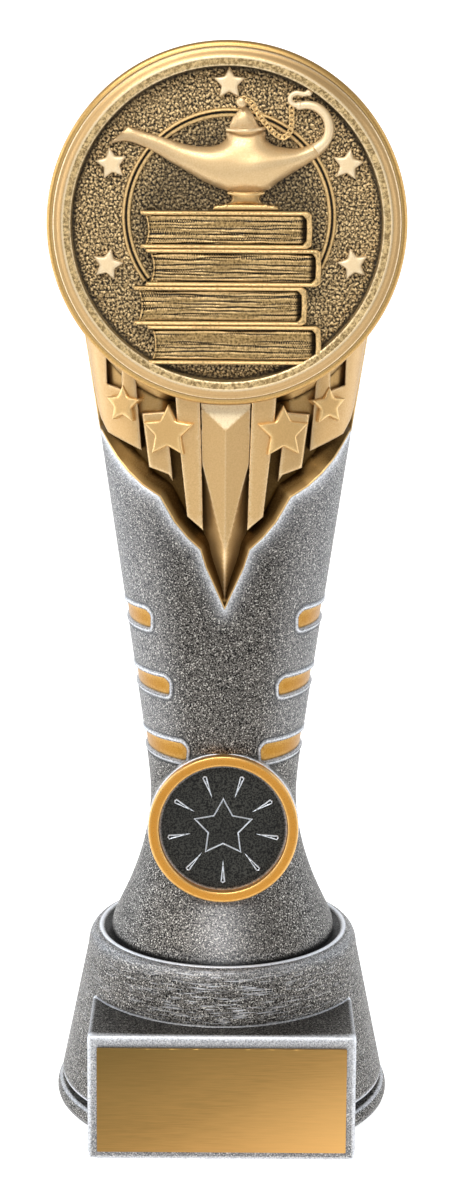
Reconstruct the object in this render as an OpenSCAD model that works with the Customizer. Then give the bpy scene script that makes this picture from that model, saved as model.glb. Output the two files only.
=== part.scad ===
// Column trophy: a round plinth with a plate block, a flared column with a
// star burst, a medallion holder and a relief head with an oil lamp on books.
// Millimetres, +Z up, front towards -Y. The origin is on the resting face,
// under the axis of the column.

/* [Base] */
// Radius of the foot ring, the widest part of the base
foot_r = 35.2; // [34.6:0.1:37]
// Height of the foot ring
foot_h = 3.6; // [3:0.1:4.5]
// Height of the plinth, up to the rim around the column
plinth_top = 37.4; // [37:0.1:38.5]
// Radius of the rim at the top of the plinth
rim_r = 25.9; // [25:0.1:27]
// Width of the block that carries the engraving plate
block_w = 53.8; // [52:0.1:56]
// Height of the block
block_h = 26; // [25:0.1:27]
// Width of the engraving plate
plate_w = 50; // [46:0.5:51]
// Height of the engraving plate
plate_h = 21.8; // [18:0.1:22.5]

/* [Column] */
// Radius of the column at its foot
column_foot_r = 23.4; // [22:0.1:23.6]
// Radius of the column at its waist
waist_r = 14.9; // [14.5:0.1:15.4]
// Height of the waist above the resting face
waist_z = 69; // [68:0.5:70]
// Widening of the column for each millimetre above the waist
taper = 0.14; // [0.13:0.005:0.15]
// Depth of the side slots
slot_depth = 1.4; // [1:0.1:2]
// Depth of the burst below the surface of the column
burst_depth = 3; // [2.5:0.1:3.5]

/* [Medallion] */
// Radius of the recess that takes a 25 mm centre
recess_r = 13.05; // [12.7:0.05:13.2]
// Outer radius of the medallion ring
ring_r = 15.2; // [14.8:0.1:15.6]
// Height of the middle of the medallion
medallion_z = 64; // [63:0.5:65]

/* [Head] */
// Radius of the head
head_r = 34.3; // [34:0.1:35.5]
// Height of the middle of the head
head_z = 185.3; // [184:0.5:187]
// Thickness of the head, up to the crest of its rim
head_t = 14; // [13:0.5:15]
// Radius of the recessed field
field_r = 29.6; // [29:0.1:30]
// Radius of the stars on the field, to their tips
star_r = 3.1; // [2.6:0.1:3.4]

/* [Hidden] */

silver = [0.5, 0.5, 0.51];
gold = [0.86, 0.68, 0.33];
cream_gold = [0.93, 0.8, 0.55];
bronze = [0.25, 0.2, 0.14];

round_fn = 96;
fit_gap = 0.05;

// Plinth
deck_z = 27;
groove_h = 0.8;
groove_in = 0.9;
cone_foot_r = foot_r - 0.9;
cone_top_r = cone_foot_r - 5.9;
shoulder_z = plinth_top - 4.2;
felt_t = 1.2;
felt_r = 31;
pocket_r = 25.8;
column_foot_z = 36;
block_foot_y = -36;
block_head_y = -34.6;
block_back_y = -12;
block_lean = atan((block_head_y - block_foot_y) / block_h);
plate_z = block_h / 2 - 0.1;
tape_t = 0.3;
plate_t = 0.6;

// Tie bolt
bolt_r = 3;
bolt_top_z = 51;
insert_r = 4.5;
insert_len = 16;

// Column
foot_flare = 0.0095;
crown_z = 168;
crown_top_z = 198;
segments = 40;
back_top_y = -9;
ring_zs = concat([column_foot_z, column_foot_z + 1.4], [for (z = [39.5 : 3 : 75]) z],
    [for (z = [82 : 8 : 154]) z], [for (a = [10 : 10 : 80]) 158 + (crown_top_z - 158) * sin(a)]);

// Medallion
medallion_lean = 4;
medallion_y = -17;
ring_t = 2.2;
pad_t = 0.4;
disc_t = 0.6;

// Head
head_back_y = -10;
seat_h = 9.5;
field_h = 10.5;

// Half the V of the burst, from its widest point down to its tip
burst_edge = [[31, 147], [24.5, 143.6], [21.6, 139.3], [19.2, 136.6], [16.4, 134.2], [12.9, 132.1],
    [10.1, 127.2], [7.5, 124.1], [4.9, 121.7], [3.8, 118.1], [0, 109.5]];
burst_top_z = 166;
burst_back_y = -6;
burst_from_z = 105;
burst_to_z = 190;
slots_from_z = 72;
slots_to_z = 115;

// Side slots: inner edge, top and underside of each
slot_bands = [[14.7, 108.3, 104.3], [10.9, 94.4, 90.6], [7.4, 80.8, 76.8]];

// Bars of the burst, as outlines for the right-hand side
inner_ray = [[5.4, 166], [4.3, 125.4], [7.5, 128.2], [9.7, 149.2], [10.4, 166]];
middle_ray = [[11.6, 149.2], [10.1, 134.9], [11, 136.4], [15.1, 137.9], [16.2, 147.3], [16.4, 148.6]];
outer_ray = [[18.6, 166], [16.4, 141.1], [23.6, 143.8], [25.6, 148], [31, 166]];
// Stars on the bars: x, y and z of the middle of the back, turn to the side, radius
big_star = [11, -17.4, 145.2, 12, 5.1];
small_star = [19.7, -15.2, 150.2, 26, 4];

// Dowels between the head and the column
dowel_r = 2;
dowel_x = 12;

// Relief on the field
field_y = head_back_y - field_h;
cut_shift = 0.01;
// Each book: left edge, right edge, underside, top
books = [[-16.5, 16.2, 181, 188.1], [-15.5, 18, 173.9, 181], [-17.8, 15.4, 166.5, 173.9],
    [-15.2, 18.2, 159, 166.5]];
cover_t = 0.75;
// The lamp, side on: its spout is at the left
lamp_top = [[-18.8, 203.7], [-16, 202.7], [-12.5, 201.8], [-8.9, 200.6], [-5.5, 200], [-2.1, 200.2],
    [-0.3, 201.4], [0.2, 202.8], [6.6, 203.1], [7.2, 201.4], [8.7, 200.3], [11.3, 199.8],
    [13.9, 199.9], [16.5, 200.9], [18.3, 201.2], [19.1, 200]];
lamp_under = [[19.1, 200], [17.3, 198.3], [14.7, 196.6], [12.2, 195.1], [9.6, 193.4], [7, 191.8],
    [0.6, 191.7], [-3.8, 193.2], [-7.2, 195.1], [-10.6, 197], [-13.8, 198.9], [-17.1, 200.4],
    [-19.7, 200.9], [-22.4, 200.3]];
lid_edge = [[0.3, 203.2], [0.5, 204.3], [1, 205.5], [1.9, 206.6], [2.4, 207.3], [3.3, 207.4],
    [4, 206.9], [4.9, 205.8], [5.6, 204.3], [6.4, 203.3]];
handle_path = [[12.2, 209.3], [13.2, 208.1], [14.9, 207.6], [16.6, 207.3], [18.2, 206],
    [19, 204.1], [18.9, 202.2], [18.2, 201.2]];
chain_path = [[4.4, 208.4], [5.2, 207], [6.1, 205.6], [7.3, 204.2], [8.8, 202.5], [10.4, 201.7],
    [11.6, 202.6], [12, 204.2], [12, 206], [11.9, 207.8]];
// Each star on the field: x, z and turn
field_stars = [[0.3, 211.7, 0], [-21.9, 196.7, -8], [22.8, 196.8, 8], [-22.7, 177.8, 12],
    [24.1, 178.1, -12]];

function smooth_step(t) = let (u = max(0, min(1, t))) u * u * (3 - 2 * u);
function swell(z) = smooth_step((z - 75) / 90);
// Half the width of the column at a height
function flank(z) = min(z < waist_z ? column_foot_r : head_r, waist_r
    + taper / 2 * (z - waist_z + sqrt(pow(z - waist_z, 2) + 36))
    + foot_flare * pow(max(0, waist_z - z), 2));
function crown(z, from) = sqrt(max(0, 1 - pow(max(0, z - from) / (crown_top_z + 0.6 - from), 2)));
function half_width(z) = flank(min(z, crown_z)) * crown(z, crown_z)
    - (z < column_foot_z + 1 ? 0.6 : 0);
function front_y(z) = -(flank(min(z, crown_z)) - 0.5 - 6.5 * swell(z));
function back_y(z) = back_top_y + (-front_y(min(z, 110)) - back_top_y) * crown(z, 140);
function squareness(z) = 2 / (2 + 0.9 * swell(z));
function signed_power(v, p) = sign(v) * pow(abs(v), p);
function ring_point(z, a, inset) = let (
        mid = (front_y(z) + back_y(z)) / 2,
        deep = (back_y(z) - front_y(z)) / 2 - inset,
        wide = half_width(z) - inset)
    [wide * signed_power(sin(a), squareness(z)), mid - deep * signed_power(cos(a), squareness(z)), z];

// The body of the column as rings of points, set in by inset all round, between two heights
module column_form(inset, from_z = 0, to_z = 300) {
    zs = [for (z = ring_zs) if (z >= from_z && z <= to_z && half_width(z) - inset > 1.5) z];
    n = segments;
    last = len(zs) - 1;
    points = [for (z = zs, i = [0 : n - 1]) ring_point(z, (i + 0.5) * 360 / n, inset)];
    walls = [for (j = [0 : last - 1], i = [0 : n - 1], half = [0, 1])
        half == 0
            ? [j * n + i, (j + 1) * n + (i + 1) % n, j * n + (i + 1) % n]
            : [j * n + i, (j + 1) * n + i, (j + 1) * n + (i + 1) % n]];
    polyhedron(points, concat(walls, [[for (i = [0 : n - 1]) i]],
        [[for (i = [n - 1 : -1 : 0]) last * n + i]]), convexity = 6);
}

// Extrudes an outline drawn in X and Z from one Y to another
module slab(y0, y1) {
    translate([0, y1, 0]) rotate([90, 0, 0]) linear_extrude(y1 - y0) children();
}

// Turns a profile of radius and height about a line that runs to the front
module turned_forward(y, z) {
    translate([0, y, z]) rotate([90, 0, 0]) rotate_extrude($fn = round_fn) children();
}

module star_outline(r, ratio, turn) {
    polygon([for (i = [0 : 9]) let (q = i % 2 == 0 ? r : r * ratio)
        [q * sin(i * 36 + turn), q * cos(i * 36 + turn)]]);
}

// A curve through a list of points, closed or open
function span_point(p, q, r, s, t) = 0.5 * (2 * q + (r - p) * t
    + (2 * p - 5 * q + 4 * r - s) * t * t + (3 * q - p - 3 * r + s) * t * t * t);
function curve(p, steps) = [for (i = [0 : len(p) - 2], k = [0 : steps - 1])
    span_point(p[max(0, i - 1)], p[i], p[i + 1], p[min(len(p) - 1, i + 2)], k / steps)];

// ---- Base ----

module foot_ring() {
    color(silver) difference() {
        rotate_extrude($fn = round_fn)
            polygon([[felt_r + 0.3 + fit_gap, 0], [foot_r - 1.2, 0], [foot_r - 0.3, 0.4],
                [foot_r, 1.2], [foot_r - 0.1, 2.4], [foot_r - 0.5, 3.3], [foot_r - 0.9, foot_h],
                [felt_r + 0.3 + fit_gap, foot_h]]);
        translate([-block_w / 2, block_foot_y - 1, -1])
            cube([block_w, block_back_y - block_foot_y + 1, foot_h + 2]);
    }
}

module plinth_profile() {
    polygon(concat([[0, felt_t], [felt_r + 0.3, felt_t], [felt_r + 0.3, foot_h],
        [cone_foot_r - groove_in, foot_h], [cone_foot_r - groove_in, foot_h + groove_h],
        [cone_foot_r, foot_h + groove_h], [cone_top_r, shoulder_z]],
        [for (a = [15 : 15 : 75]) [rim_r + (cone_top_r - rim_r) * cos(a),
            shoulder_z + (plinth_top - shoulder_z - 0.2) * sin(a)]],
        [[rim_r, plinth_top], [rim_r - 0.8, plinth_top], [rim_r - 1.6, column_foot_z + 0.4],
        [rim_r - 2.2, column_foot_z], [0, column_foot_z]]));
}

module plinth() {
    color(silver) difference() {
        union() {
            rotate_extrude($fn = round_fn) plinth_profile();
            translate([-block_w / 2, 0, 0]) rotate([90, 0, 90]) linear_extrude(block_w)
                polygon([[block_back_y, 0], [block_foot_y, 0], [block_head_y, block_h],
                    [block_back_y, block_h]]);
        }
        translate([0, 0, -1]) cylinder(r = pocket_r, h = deck_z + 1, $fn = round_fn);
        translate([0, 0, -1]) cylinder(r = felt_r, h = felt_t + 1, $fn = round_fn);
        cylinder(r = bolt_r + 0.3, h = 60, $fn = 32);
    }
}

module base_weight() {
    color([0.3, 0.3, 0.32]) translate([0, 0, felt_t]) difference() {
        cylinder(r = pocket_r - 0.4, h = 14, $fn = round_fn);
        translate([0, 0, 11]) cylinder(r = 9, h = 4, $fn = round_fn);
    }
}

module felt_pad() {
    color([0.1, 0.1, 0.1]) cylinder(r = felt_r - fit_gap, h = felt_t, $fn = round_fn);
}

module tie_bolt() {
    color([0.7, 0.7, 0.72]) union() {
        translate([0, 0, deck_z - 5.6]) cylinder(r = 5.8, h = 4, $fn = 6);
        translate([0, 0, deck_z - 2]) cylinder(r = bolt_r, h = bolt_top_z - deck_z + 2, $fn = 32);
    }
}

module bolt_washer() {
    color([0.75, 0.75, 0.77]) translate([0, 0, deck_z - 1.6]) difference() {
        cylinder(r = 8, h = 1.6, $fn = 64);
        translate([0, 0, -1]) cylinder(r = bolt_r + 0.2, h = 4, $fn = 32);
    }
}

module threaded_insert() {
    color([0.8, 0.65, 0.3]) translate([0, 0, column_foot_z]) difference() {
        cylinder(r = insert_r, h = insert_len, $fn = 48);
        translate([0, 0, -1]) cylinder(r = bolt_r, h = insert_len + 2, $fn = 32);
    }
}

// Places children on the leaning front of the block, Z outwards, Y up
module on_block_front() {
    translate([0, block_foot_y + plate_z * tan(block_lean), plate_z])
        rotate([90 - block_lean, 0, 0]) children();
}

module plate_tape() {
    color([0.9, 0.9, 0.88]) on_block_front()
        translate([-plate_w / 2 + 1, -plate_h / 2 + 1, 0]) cube([plate_w - 2, plate_h - 2, tape_t]);
}

module engraving_plate() {
    color([0.72, 0.56, 0.3]) on_block_front()
        translate([-plate_w / 2, -plate_h / 2, tape_t]) cube([plate_w, plate_h, plate_t]);
}

// ---- Column ----

module burst_outline() {
    left = [for (i = [len(burst_edge) - 2 : -1 : 0]) [-burst_edge[i][0], burst_edge[i][1]]];
    polygon(concat([[31, burst_top_z]], burst_edge, left, [[-31, burst_top_z]]));
}

module head_clearance() {
    translate([0, head_back_y, head_z]) rotate([90, 0, 0])
        cylinder(r = head_r, h = 40, $fn = round_fn);
}

// The places on the leaning seat of the medallion, Z outwards
module on_medallion() {
    translate([0, medallion_y, medallion_z]) rotate([90 - medallion_lean, 0, 0]) children();
}

// One side slot: side is -1 for the left or 1 for the right
module slot_band(side, i) {
    band = slot_bands[i];
    slab(-30, 12) polygon([for (p = [[30, band[1] + 0.3], [band[0] + 1.2, band[1]],
        [band[0], band[1] - 1.2], [band[0] + 0.6, band[2] + 0.4], [band[0] + 1.6, band[2]],
        [30, band[2] + 1.6]]) [side * p[0], p[1]]]);
}

module column() {
    color(silver) difference() {
        union() {
            column_form(0);
            on_medallion() translate([0, 0, -14])
                cylinder(r1 = ring_r + 0.7, r2 = ring_r + 0.2, h = 14, $fn = round_fn);
        }
        head_clearance();
        slab(-40, burst_back_y) burst_outline();
        difference() {
            for (side = [-1, 1], i = [0 : 2]) slot_band(side, i);
            column_form(slot_depth, slots_from_z, slots_to_z);
        }
        on_medallion() translate([0, 0, -pad_t]) cylinder(r = recess_r - 0.6, h = 2, $fn = round_fn);
        translate([0, 0, column_foot_z - 1]) cylinder(r = insert_r, h = insert_len + 1, $fn = 48);
        head_dowel_holes();
    }
}

module slot_inlay(side, i) {
    color(gold) difference() {
        intersection() {
            slot_band(side, i);
            column_form(0.4, slots_from_z, slots_to_z);
        }
        column_form(slot_depth, slots_from_z, slots_to_z);
        on_medallion() translate([0, 0, -14])
            cylinder(r1 = ring_r + 0.7, r2 = ring_r + 0.2, h = 20, $fn = round_fn);
    }
}
module slot_inlay_left_1() { slot_inlay(-1, 0); }
module slot_inlay_left_2() { slot_inlay(-1, 1); }
module slot_inlay_left_3() { slot_inlay(-1, 2); }
module slot_inlay_right_1() { slot_inlay(1, 0); }
module slot_inlay_right_2() { slot_inlay(1, 1); }
module slot_inlay_right_3() { slot_inlay(1, 2); }

module medallion_ring() {
    color(gold) on_medallion() rotate_extrude($fn = round_fn)
        polygon(concat([[recess_r, 0], [ring_r, 0], [ring_r, ring_t - 0.8]],
            [for (a = [20 : 20 : 80]) [ring_r - 0.8 + 0.8 * cos(a), ring_t - 0.8 + 0.8 * sin(a)]],
            [[recess_r, ring_t]]));
}

module medallion_pad() {
    color([0.85, 0.85, 0.82]) on_medallion() translate([0, 0, -pad_t])
        cylinder(r = recess_r - 0.7, h = pad_t, $fn = 64);
}

module medallion_disc() {
    color(bronze) on_medallion() union() {
        cylinder(r = recess_r - fit_gap, h = disc_t, $fn = round_fn);
        linear_extrude(disc_t + 0.2) difference() {
            star_outline(6.3, 0.52, 0);
            star_outline(5.7, 0.52, 0);
        }
        for (i = [0 : 8]) rotate([0, 0, 20 + i * 40]) translate([-0.3, 7.2, 0])
            cube([0.6, 4, disc_t + 0.2]);
    }
}

// ---- Burst ----

module burst_panel() {
    color(gold) difference() {
        intersection() {
            slab(-40, burst_back_y) burst_outline();
            column_form(burst_depth, burst_from_z, burst_to_z);
        }
        head_clearance();
    }
}

// One bar of the burst: it stands between the panel and the surface of the column
module burst_bar(side, outline, inset) {
    color(gold) difference() {
        intersection() {
            slab(-40, burst_back_y) polygon([for (p = outline) [side * p[0], p[1]]]);
            column_form(inset, burst_from_z, burst_to_z);
        }
        column_form(burst_depth, burst_from_z, burst_to_z);
        head_clearance();
    }
}

module ray_left_inner() { burst_bar(-1, inner_ray, 0.6); }
module ray_left_middle() { burst_bar(-1, middle_ray, 0.6); }
module ray_left_outer() { burst_bar(-1, outer_ray, 0.3); }
module ray_right_inner() { burst_bar(1, inner_ray, 0.6); }
module ray_right_middle() { burst_bar(1, middle_ray, 0.6); }
module ray_right_outer() { burst_bar(1, outer_ray, 0.3); }

module burst_spike() {
    spike_y = -20.4;
    root_y = -13.4;
    color(gold) difference() {
        polyhedron([[-4.9, root_y, 166], [4.9, root_y, 166], [0, root_y, 110.5], [0, spike_y, 166],
            [0, -16.6, 112.5]], [[0, 2, 1], [0, 1, 3], [1, 2, 4], [1, 4, 3], [2, 0, 3], [2, 3, 4]]);
        column_form(burst_depth, burst_from_z, burst_to_z);
        head_clearance();
    }
}

// A star that stands on the bars: side is -1 for the left or 1 for the right
module burst_star(side, s) {
    color(cream_gold) translate([side * s[0], s[1], s[2]]) rotate([90, 0, side * s[3]])
        linear_extrude(1.6) star_outline(s[4], 0.5, 0);
}
module burst_star_left_big() { burst_star(-1, big_star); }
module burst_star_left_small() { burst_star(-1, small_star); }
module burst_star_right_big() { burst_star(1, big_star); }
module burst_star_right_small() { burst_star(1, small_star); }

// ---- Head ----

module dowel(r, y0, y1) {
    for (side = [-1, 1]) translate([side * dowel_x, y1, 178]) rotate([90, 0, 0])
        cylinder(r = r, h = y1 - y0, $fn = 24);
}
module head_dowel_holes() { dowel(dowel_r, head_back_y - 1, head_back_y + 5); }
module head_dowels() { color([0.75, 0.75, 0.77]) dowel(dowel_r, head_back_y - 5, head_back_y + 5); }

module head_housing() {
    color(gold) difference() {
        turned_forward(head_back_y, head_z) polygon([[0, 0], [head_r - 1.6, 0], [head_r - 0.4, 0.5],
            [head_r, 1.6], [head_r, head_t - 2.2], [head_r - 0.4, head_t - 1.8],
            [head_r - 1.2, head_t - 1.6], [head_r - 1.2, seat_h], [0, seat_h]]);
        dowel(dowel_r, head_back_y - 5, head_back_y + 1);
    }
}

module head_rim() {
    crest_r = head_r - 2.35;
    color(cream_gold) turned_forward(head_back_y, head_z) polygon(concat(
        [[field_r + 1.4, seat_h], [head_r - 1.2, seat_h]],
        [for (a = [0 : 15 : 180]) [crest_r + 1.15 * cos(a), head_t - 1.2 + 1.2 * sin(a)]],
        [[field_r + 1.4, head_t - 1.4]]));
}

module rim_liner() {
    color(bronze) turned_forward(head_back_y, head_z) polygon([[field_r, seat_h],
        [field_r + 1.4, seat_h], [field_r + 1.4, head_t - 1.6], [field_r + 0.3, head_t - 2],
        [field_r, head_t - 2.3]]);
}

module relief_field() {
    color(bronze) turned_forward(head_back_y, head_z)
        polygon([[0, seat_h], [field_r, seat_h], [field_r, field_h], [0, field_h]]);
}

// Places flat relief on the field, with X and Z measured from the axis and the resting face
module relief(h) {
    slab(field_y - h, field_y) children();
}

module relief_ring() {
    color(gold) difference() {
        translate([0.4, 0, 0]) turned_forward(field_y, 186.8)
            polygon([[18.8, 0], [20.3, 0], [20.3, 0.9], [20, 1.2], [19.1, 1.2], [18.8, 0.9]]);
        relief(5) polygon([[-17.9, 158], [18.3, 158], [18.3, 189], [-17.9, 189]]);
        relief(5) lamp_outline();
        relief(5) translate([0, -cut_shift]) handle_outline();
        lamp_lid();
    }
}

module book(i) {
    b = books[i];
    color(gold) union() {
        relief(3.2) translate([b[0], b[2]]) square([b[1] - b[0], cover_t]);
        relief(3.2) translate([b[0], b[3] - cover_t - 0.02]) square([b[1] - b[0], cover_t]);
        relief(2.6) translate([b[0] + 1, b[2] + 0.1]) square([b[1] - b[0] - 2, b[3] - b[2] - 0.3]);
        relief(3) translate([b[1] - 1.4, b[2] + 0.1]) square([1.2, b[3] - b[2] - 0.3]);
    }
}
module book_1() { book(0); }
module book_2() { book(1); }
module book_3() { book(2); }
module book_4() { book(3); }

module lamp_outline() {
    polygon(concat(curve(lamp_top, 3), curve(lamp_under, 3), [[-22.4, 200.3]]));
}
module lamp_body() {
    color(cream_gold) union() {
        relief(2.6) lamp_outline();
        intersection() {
            relief(3.8) lamp_outline();
            relief(4.2) translate([3, 197.5]) circle(r = 9, $fn = 48);
        }
    }
}

module lamp_foot() {
    color(cream_gold) union() {
        relief(3) polygon([[0.1, 191.65], [6.9, 191.65], [6.4, 190.6], [7, 189], [0.2, 189], [0.7, 190.6]]);
        relief(3.4) translate([-2.7, 188.15]) square([12.5, 0.85]);
    }
}

module lamp_lid() {
    color(cream_gold) union() {
        relief(3.2) polygon(concat(curve(lid_edge, 2), [[6.4, 203.3]]));
        relief(2.8) translate([2.6, 208.2]) circle(r = 1.15, $fn = 24);
    }
}

module handle_outline() {
    for (p = curve(handle_path, 3)) translate(p) circle(r = 0.95, $fn = 16);
}
module lamp_handle() {
    color(cream_gold) difference() {
        relief(2.4) handle_outline();
        relief(5) lamp_outline();
    }
}

module lamp_chain() {
    color(cream_gold) for (p = curve(chain_path, 1)) translate([p[0], field_y - 2, p[1]])
        sphere(r = 0.6, $fn = 16);
}

module field_star(i) {
    s = field_stars[i];
    color(cream_gold) relief(1.8) translate([s[0], s[1]]) star_outline(star_r, 0.5, s[2]);
}
module field_star_1() { field_star(0); }
module field_star_2() { field_star(1); }
module field_star_3() { field_star(2); }
module field_star_4() { field_star(3); }
module field_star_5() { field_star(4); }

foot_ring();
plinth();
base_weight();
felt_pad();
tie_bolt();
bolt_washer();
threaded_insert();
plate_tape();
engraving_plate();
column();
medallion_ring();
medallion_pad();
medallion_disc();
slot_inlay_left_1();
slot_inlay_left_2();
slot_inlay_left_3();
slot_inlay_right_1();
slot_inlay_right_2();
slot_inlay_right_3();
burst_panel();
burst_spike();
ray_left_inner();
ray_left_middle();
ray_left_outer();
ray_right_inner();
ray_right_middle();
ray_right_outer();
burst_star_left_big();
burst_star_left_small();
burst_star_right_big();
burst_star_right_small();
head_dowels();
head_housing();
head_rim();
rim_liner();
relief_field();
relief_ring();
book_1();
book_2();
book_3();
book_4();
lamp_foot();
lamp_body();
lamp_lid();
lamp_handle();
lamp_chain();
field_star_1();
field_star_2();
field_star_3();
field_star_4();
field_star_5();
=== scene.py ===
import math

import bmesh
import bpy
import numpy as np
from mathutils import Matrix, Vector
from mathutils.geometry import delaunay_2d_cdt


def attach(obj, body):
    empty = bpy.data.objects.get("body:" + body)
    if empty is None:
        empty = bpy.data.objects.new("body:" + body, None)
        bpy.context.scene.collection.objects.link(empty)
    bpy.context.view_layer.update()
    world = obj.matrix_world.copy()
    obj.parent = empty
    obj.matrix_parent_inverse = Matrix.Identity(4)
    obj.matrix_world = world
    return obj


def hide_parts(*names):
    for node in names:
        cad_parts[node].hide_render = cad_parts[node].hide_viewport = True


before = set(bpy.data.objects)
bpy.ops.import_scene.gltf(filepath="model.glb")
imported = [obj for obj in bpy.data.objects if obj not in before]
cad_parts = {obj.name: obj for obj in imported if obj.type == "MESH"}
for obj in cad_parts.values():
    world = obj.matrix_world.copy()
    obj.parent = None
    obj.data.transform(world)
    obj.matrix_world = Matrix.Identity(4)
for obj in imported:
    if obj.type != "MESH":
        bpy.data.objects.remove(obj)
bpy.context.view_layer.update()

MM = 0.001
TAU = 2 * math.pi
FRONTWARD = np.array([0.0, -1.0, 0.0])
SWELL_ROUNDS, WEAR_ROUNDS = 1500, 18


# ---- Points and outlines, in millimetres ----

def spread(points, step, closed=True):
    """The same line with points no further apart than step; its corners stay."""
    points = np.asarray(points, float)
    ends = np.roll(points, -1, axis=0) if closed else points[1:]
    out = []
    for a, b in zip(points, ends):
        n = max(1, math.ceil(np.linalg.norm(b - a) / step - 1e-6))
        out.extend(a + (b - a) * k / n for k in range(n))
    return np.array(out if closed else [*out, points[-1]])


def soften(points, radius, steps=4):
    """Rounds the corners of a closed outline."""
    points = np.asarray(points, float)
    out = []
    for before, p, after in zip(np.roll(points, 1, axis=0), points, np.roll(points, -1, axis=0)):
        a, b = (p + (q - p) * min(radius / np.linalg.norm(q - p), 0.45) for q in (before, after))
        out += [(1 - t) ** 2 * a + 2 * t * (1 - t) * p + t * t * b for t in np.arange(steps + 1) / steps]
    return np.array(out)


def curve_through(points, steps):
    """A smooth open line through points (Catmull-Rom)."""
    p = np.asarray([points[0], *points, points[-1]], float)
    out = []
    for a, b, c, d in zip(p, p[1:], p[2:], p[3:]):
        out += [0.5 * (2 * b + (c - a) * t + (2 * a - 5 * b + 4 * c - d) * t * t
                       + (3 * b - a - 3 * c + d) * t ** 3) for t in np.arange(steps) / steps]
    return np.array([*out, p[-1]])


def star(r, ratio, turn=0.0):
    angles = np.radians(np.arange(10) * 36 + turn)
    reach = np.where(np.arange(10) % 2 == 0, r, r * ratio)
    return np.stack([reach * np.sin(angles), reach * np.cos(angles)], -1)


def inside_distance(points, loop):
    """Distance from each point to a closed outline, positive inside it."""
    a, b = loop, np.roll(loop, -1, axis=0)
    ab = b - a
    long2 = np.maximum((ab ** 2).sum(1), 1e-12)
    out = np.empty(len(points))
    for k in range(0, len(points), 4000):
        q = points[k:k + 4000, None, :]
        t = np.clip(((q - a) * ab).sum(-1) / long2, 0, 1)
        gap = np.sqrt((((q - a) - t[..., None] * ab) ** 2).sum(-1)).min(1)
        above = (a[:, 1] > q[..., 1]) != (b[:, 1] > q[..., 1])
        slope = np.where(np.abs(ab[:, 1]) < 1e-12, 1e-12, ab[:, 1])
        hits = above & (q[..., 0] < a[:, 0] + ab[:, 0] * (q[..., 1] - a[:, 1]) / slope)
        out[k:k + 4000] = np.where(hits.sum(1) % 2 == 1, gap, -gap)
    return out


def line_distance(points, line):
    """Distance from each point to an open line."""
    a, ab = line[:-1], np.diff(line, axis=0)
    t = np.clip(((points[:, None] - a) * ab).sum(-1) / (ab ** 2).sum(1), 0, 1)
    return np.sqrt(((points[:, None] - a - t[..., None] * ab) ** 2).sum(-1)).min(1)


def beside(loop, offset):
    """The outline's points moved sideways, positive inwards."""
    ahead, behind = np.roll(loop, -1, axis=0), np.roll(loop, 1, axis=0)
    area = (loop[:, 0] * ahead[:, 1] - ahead[:, 0] * loop[:, 1]).sum()
    run = ahead - behind
    run /= np.maximum(np.linalg.norm(run, axis=1, keepdims=True), 1e-9)
    return loop + math.copysign(1, area) * offset * np.stack([-run[:, 1], run[:, 0]], -1)


def triangles(outline, loops=(), rows=(), grid=1.0, creases=(), extra=()):
    """Triangulates the inside of an outline. rows are distances from each loop at which points lie."""
    edges, at = [], 0
    for line, closed in [(outline, True)] + [(l, True) for l in loops] + [(c, False) for c in creases]:
        n = len(line)
        edges += [(at + i, at + (i + 1) % n) for i in range(n if closed else n - 1)]
        at += n
    around = loops if len(loops) else [outline]

    def gap(points):
        return np.min([np.abs(inside_distance(points, l)) for l in around], axis=0)

    low, high = outline.min(0), outline.max(0)
    xs = np.arange(low[0], high[0] + grid, grid)
    ys = np.arange(low[1], high[1] + grid, grid * 0.866)
    hexes = np.array([(x + (0.5 * grid if j % 2 else 0), y) for j, y in enumerate(ys) for x in xs])
    near = gap(hexes)
    reach = max([abs(r) for r in rows], default=0)
    keep = [hexes[near > (reach + 0.5 * grid if reach else 0.4 * grid)]]
    for loop in around:
        for r in rows:
            row = beside(loop, r)
            keep.append(row[np.abs(gap(row) - abs(r)) < 0.08 * abs(r) + 0.01])
    if reach:
        # Between the rows and the grid, where a row was dropped at a corner
        keep.append(hexes[(near <= reach + 0.5 * grid) & (near > 0.6 * reach)][::2])
    keep = np.concatenate(keep + [np.asarray(e, float) for e in extra])
    keep = keep[inside_distance(keep, outline) > 0.02]
    for crease in creases:
        keep = keep[line_distance(keep, crease) > 0.25 * grid]
    points = np.concatenate([outline, *loops, *creases, keep])
    v, _, f, _, _, _ = delaunay_2d_cdt([Vector(p) for p in points.tolist()], edges, [], 0, 1e-5)
    v = np.array([tuple(p) for p in v])
    f = np.array([t for t in f if len(t) == 3])
    return v, f[inside_distance(v[f].mean(1), outline) > 0]


def sides_of(faces):
    """Every side of every triangle, in the triangle's direction."""
    return np.concatenate([faces[:, [0, 1]], faces[:, [1, 2]], faces[:, [2, 0]]])


def outer_edges(faces):
    """The sides that only one triangle has."""
    pairs = sides_of(faces)
    codes = pairs.min(1) * (faces.max() + 1) + pairs.max(1)
    _, first, count = np.unique(codes, return_index=True, return_counts=True)
    return pairs[first[count == 1]]


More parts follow.
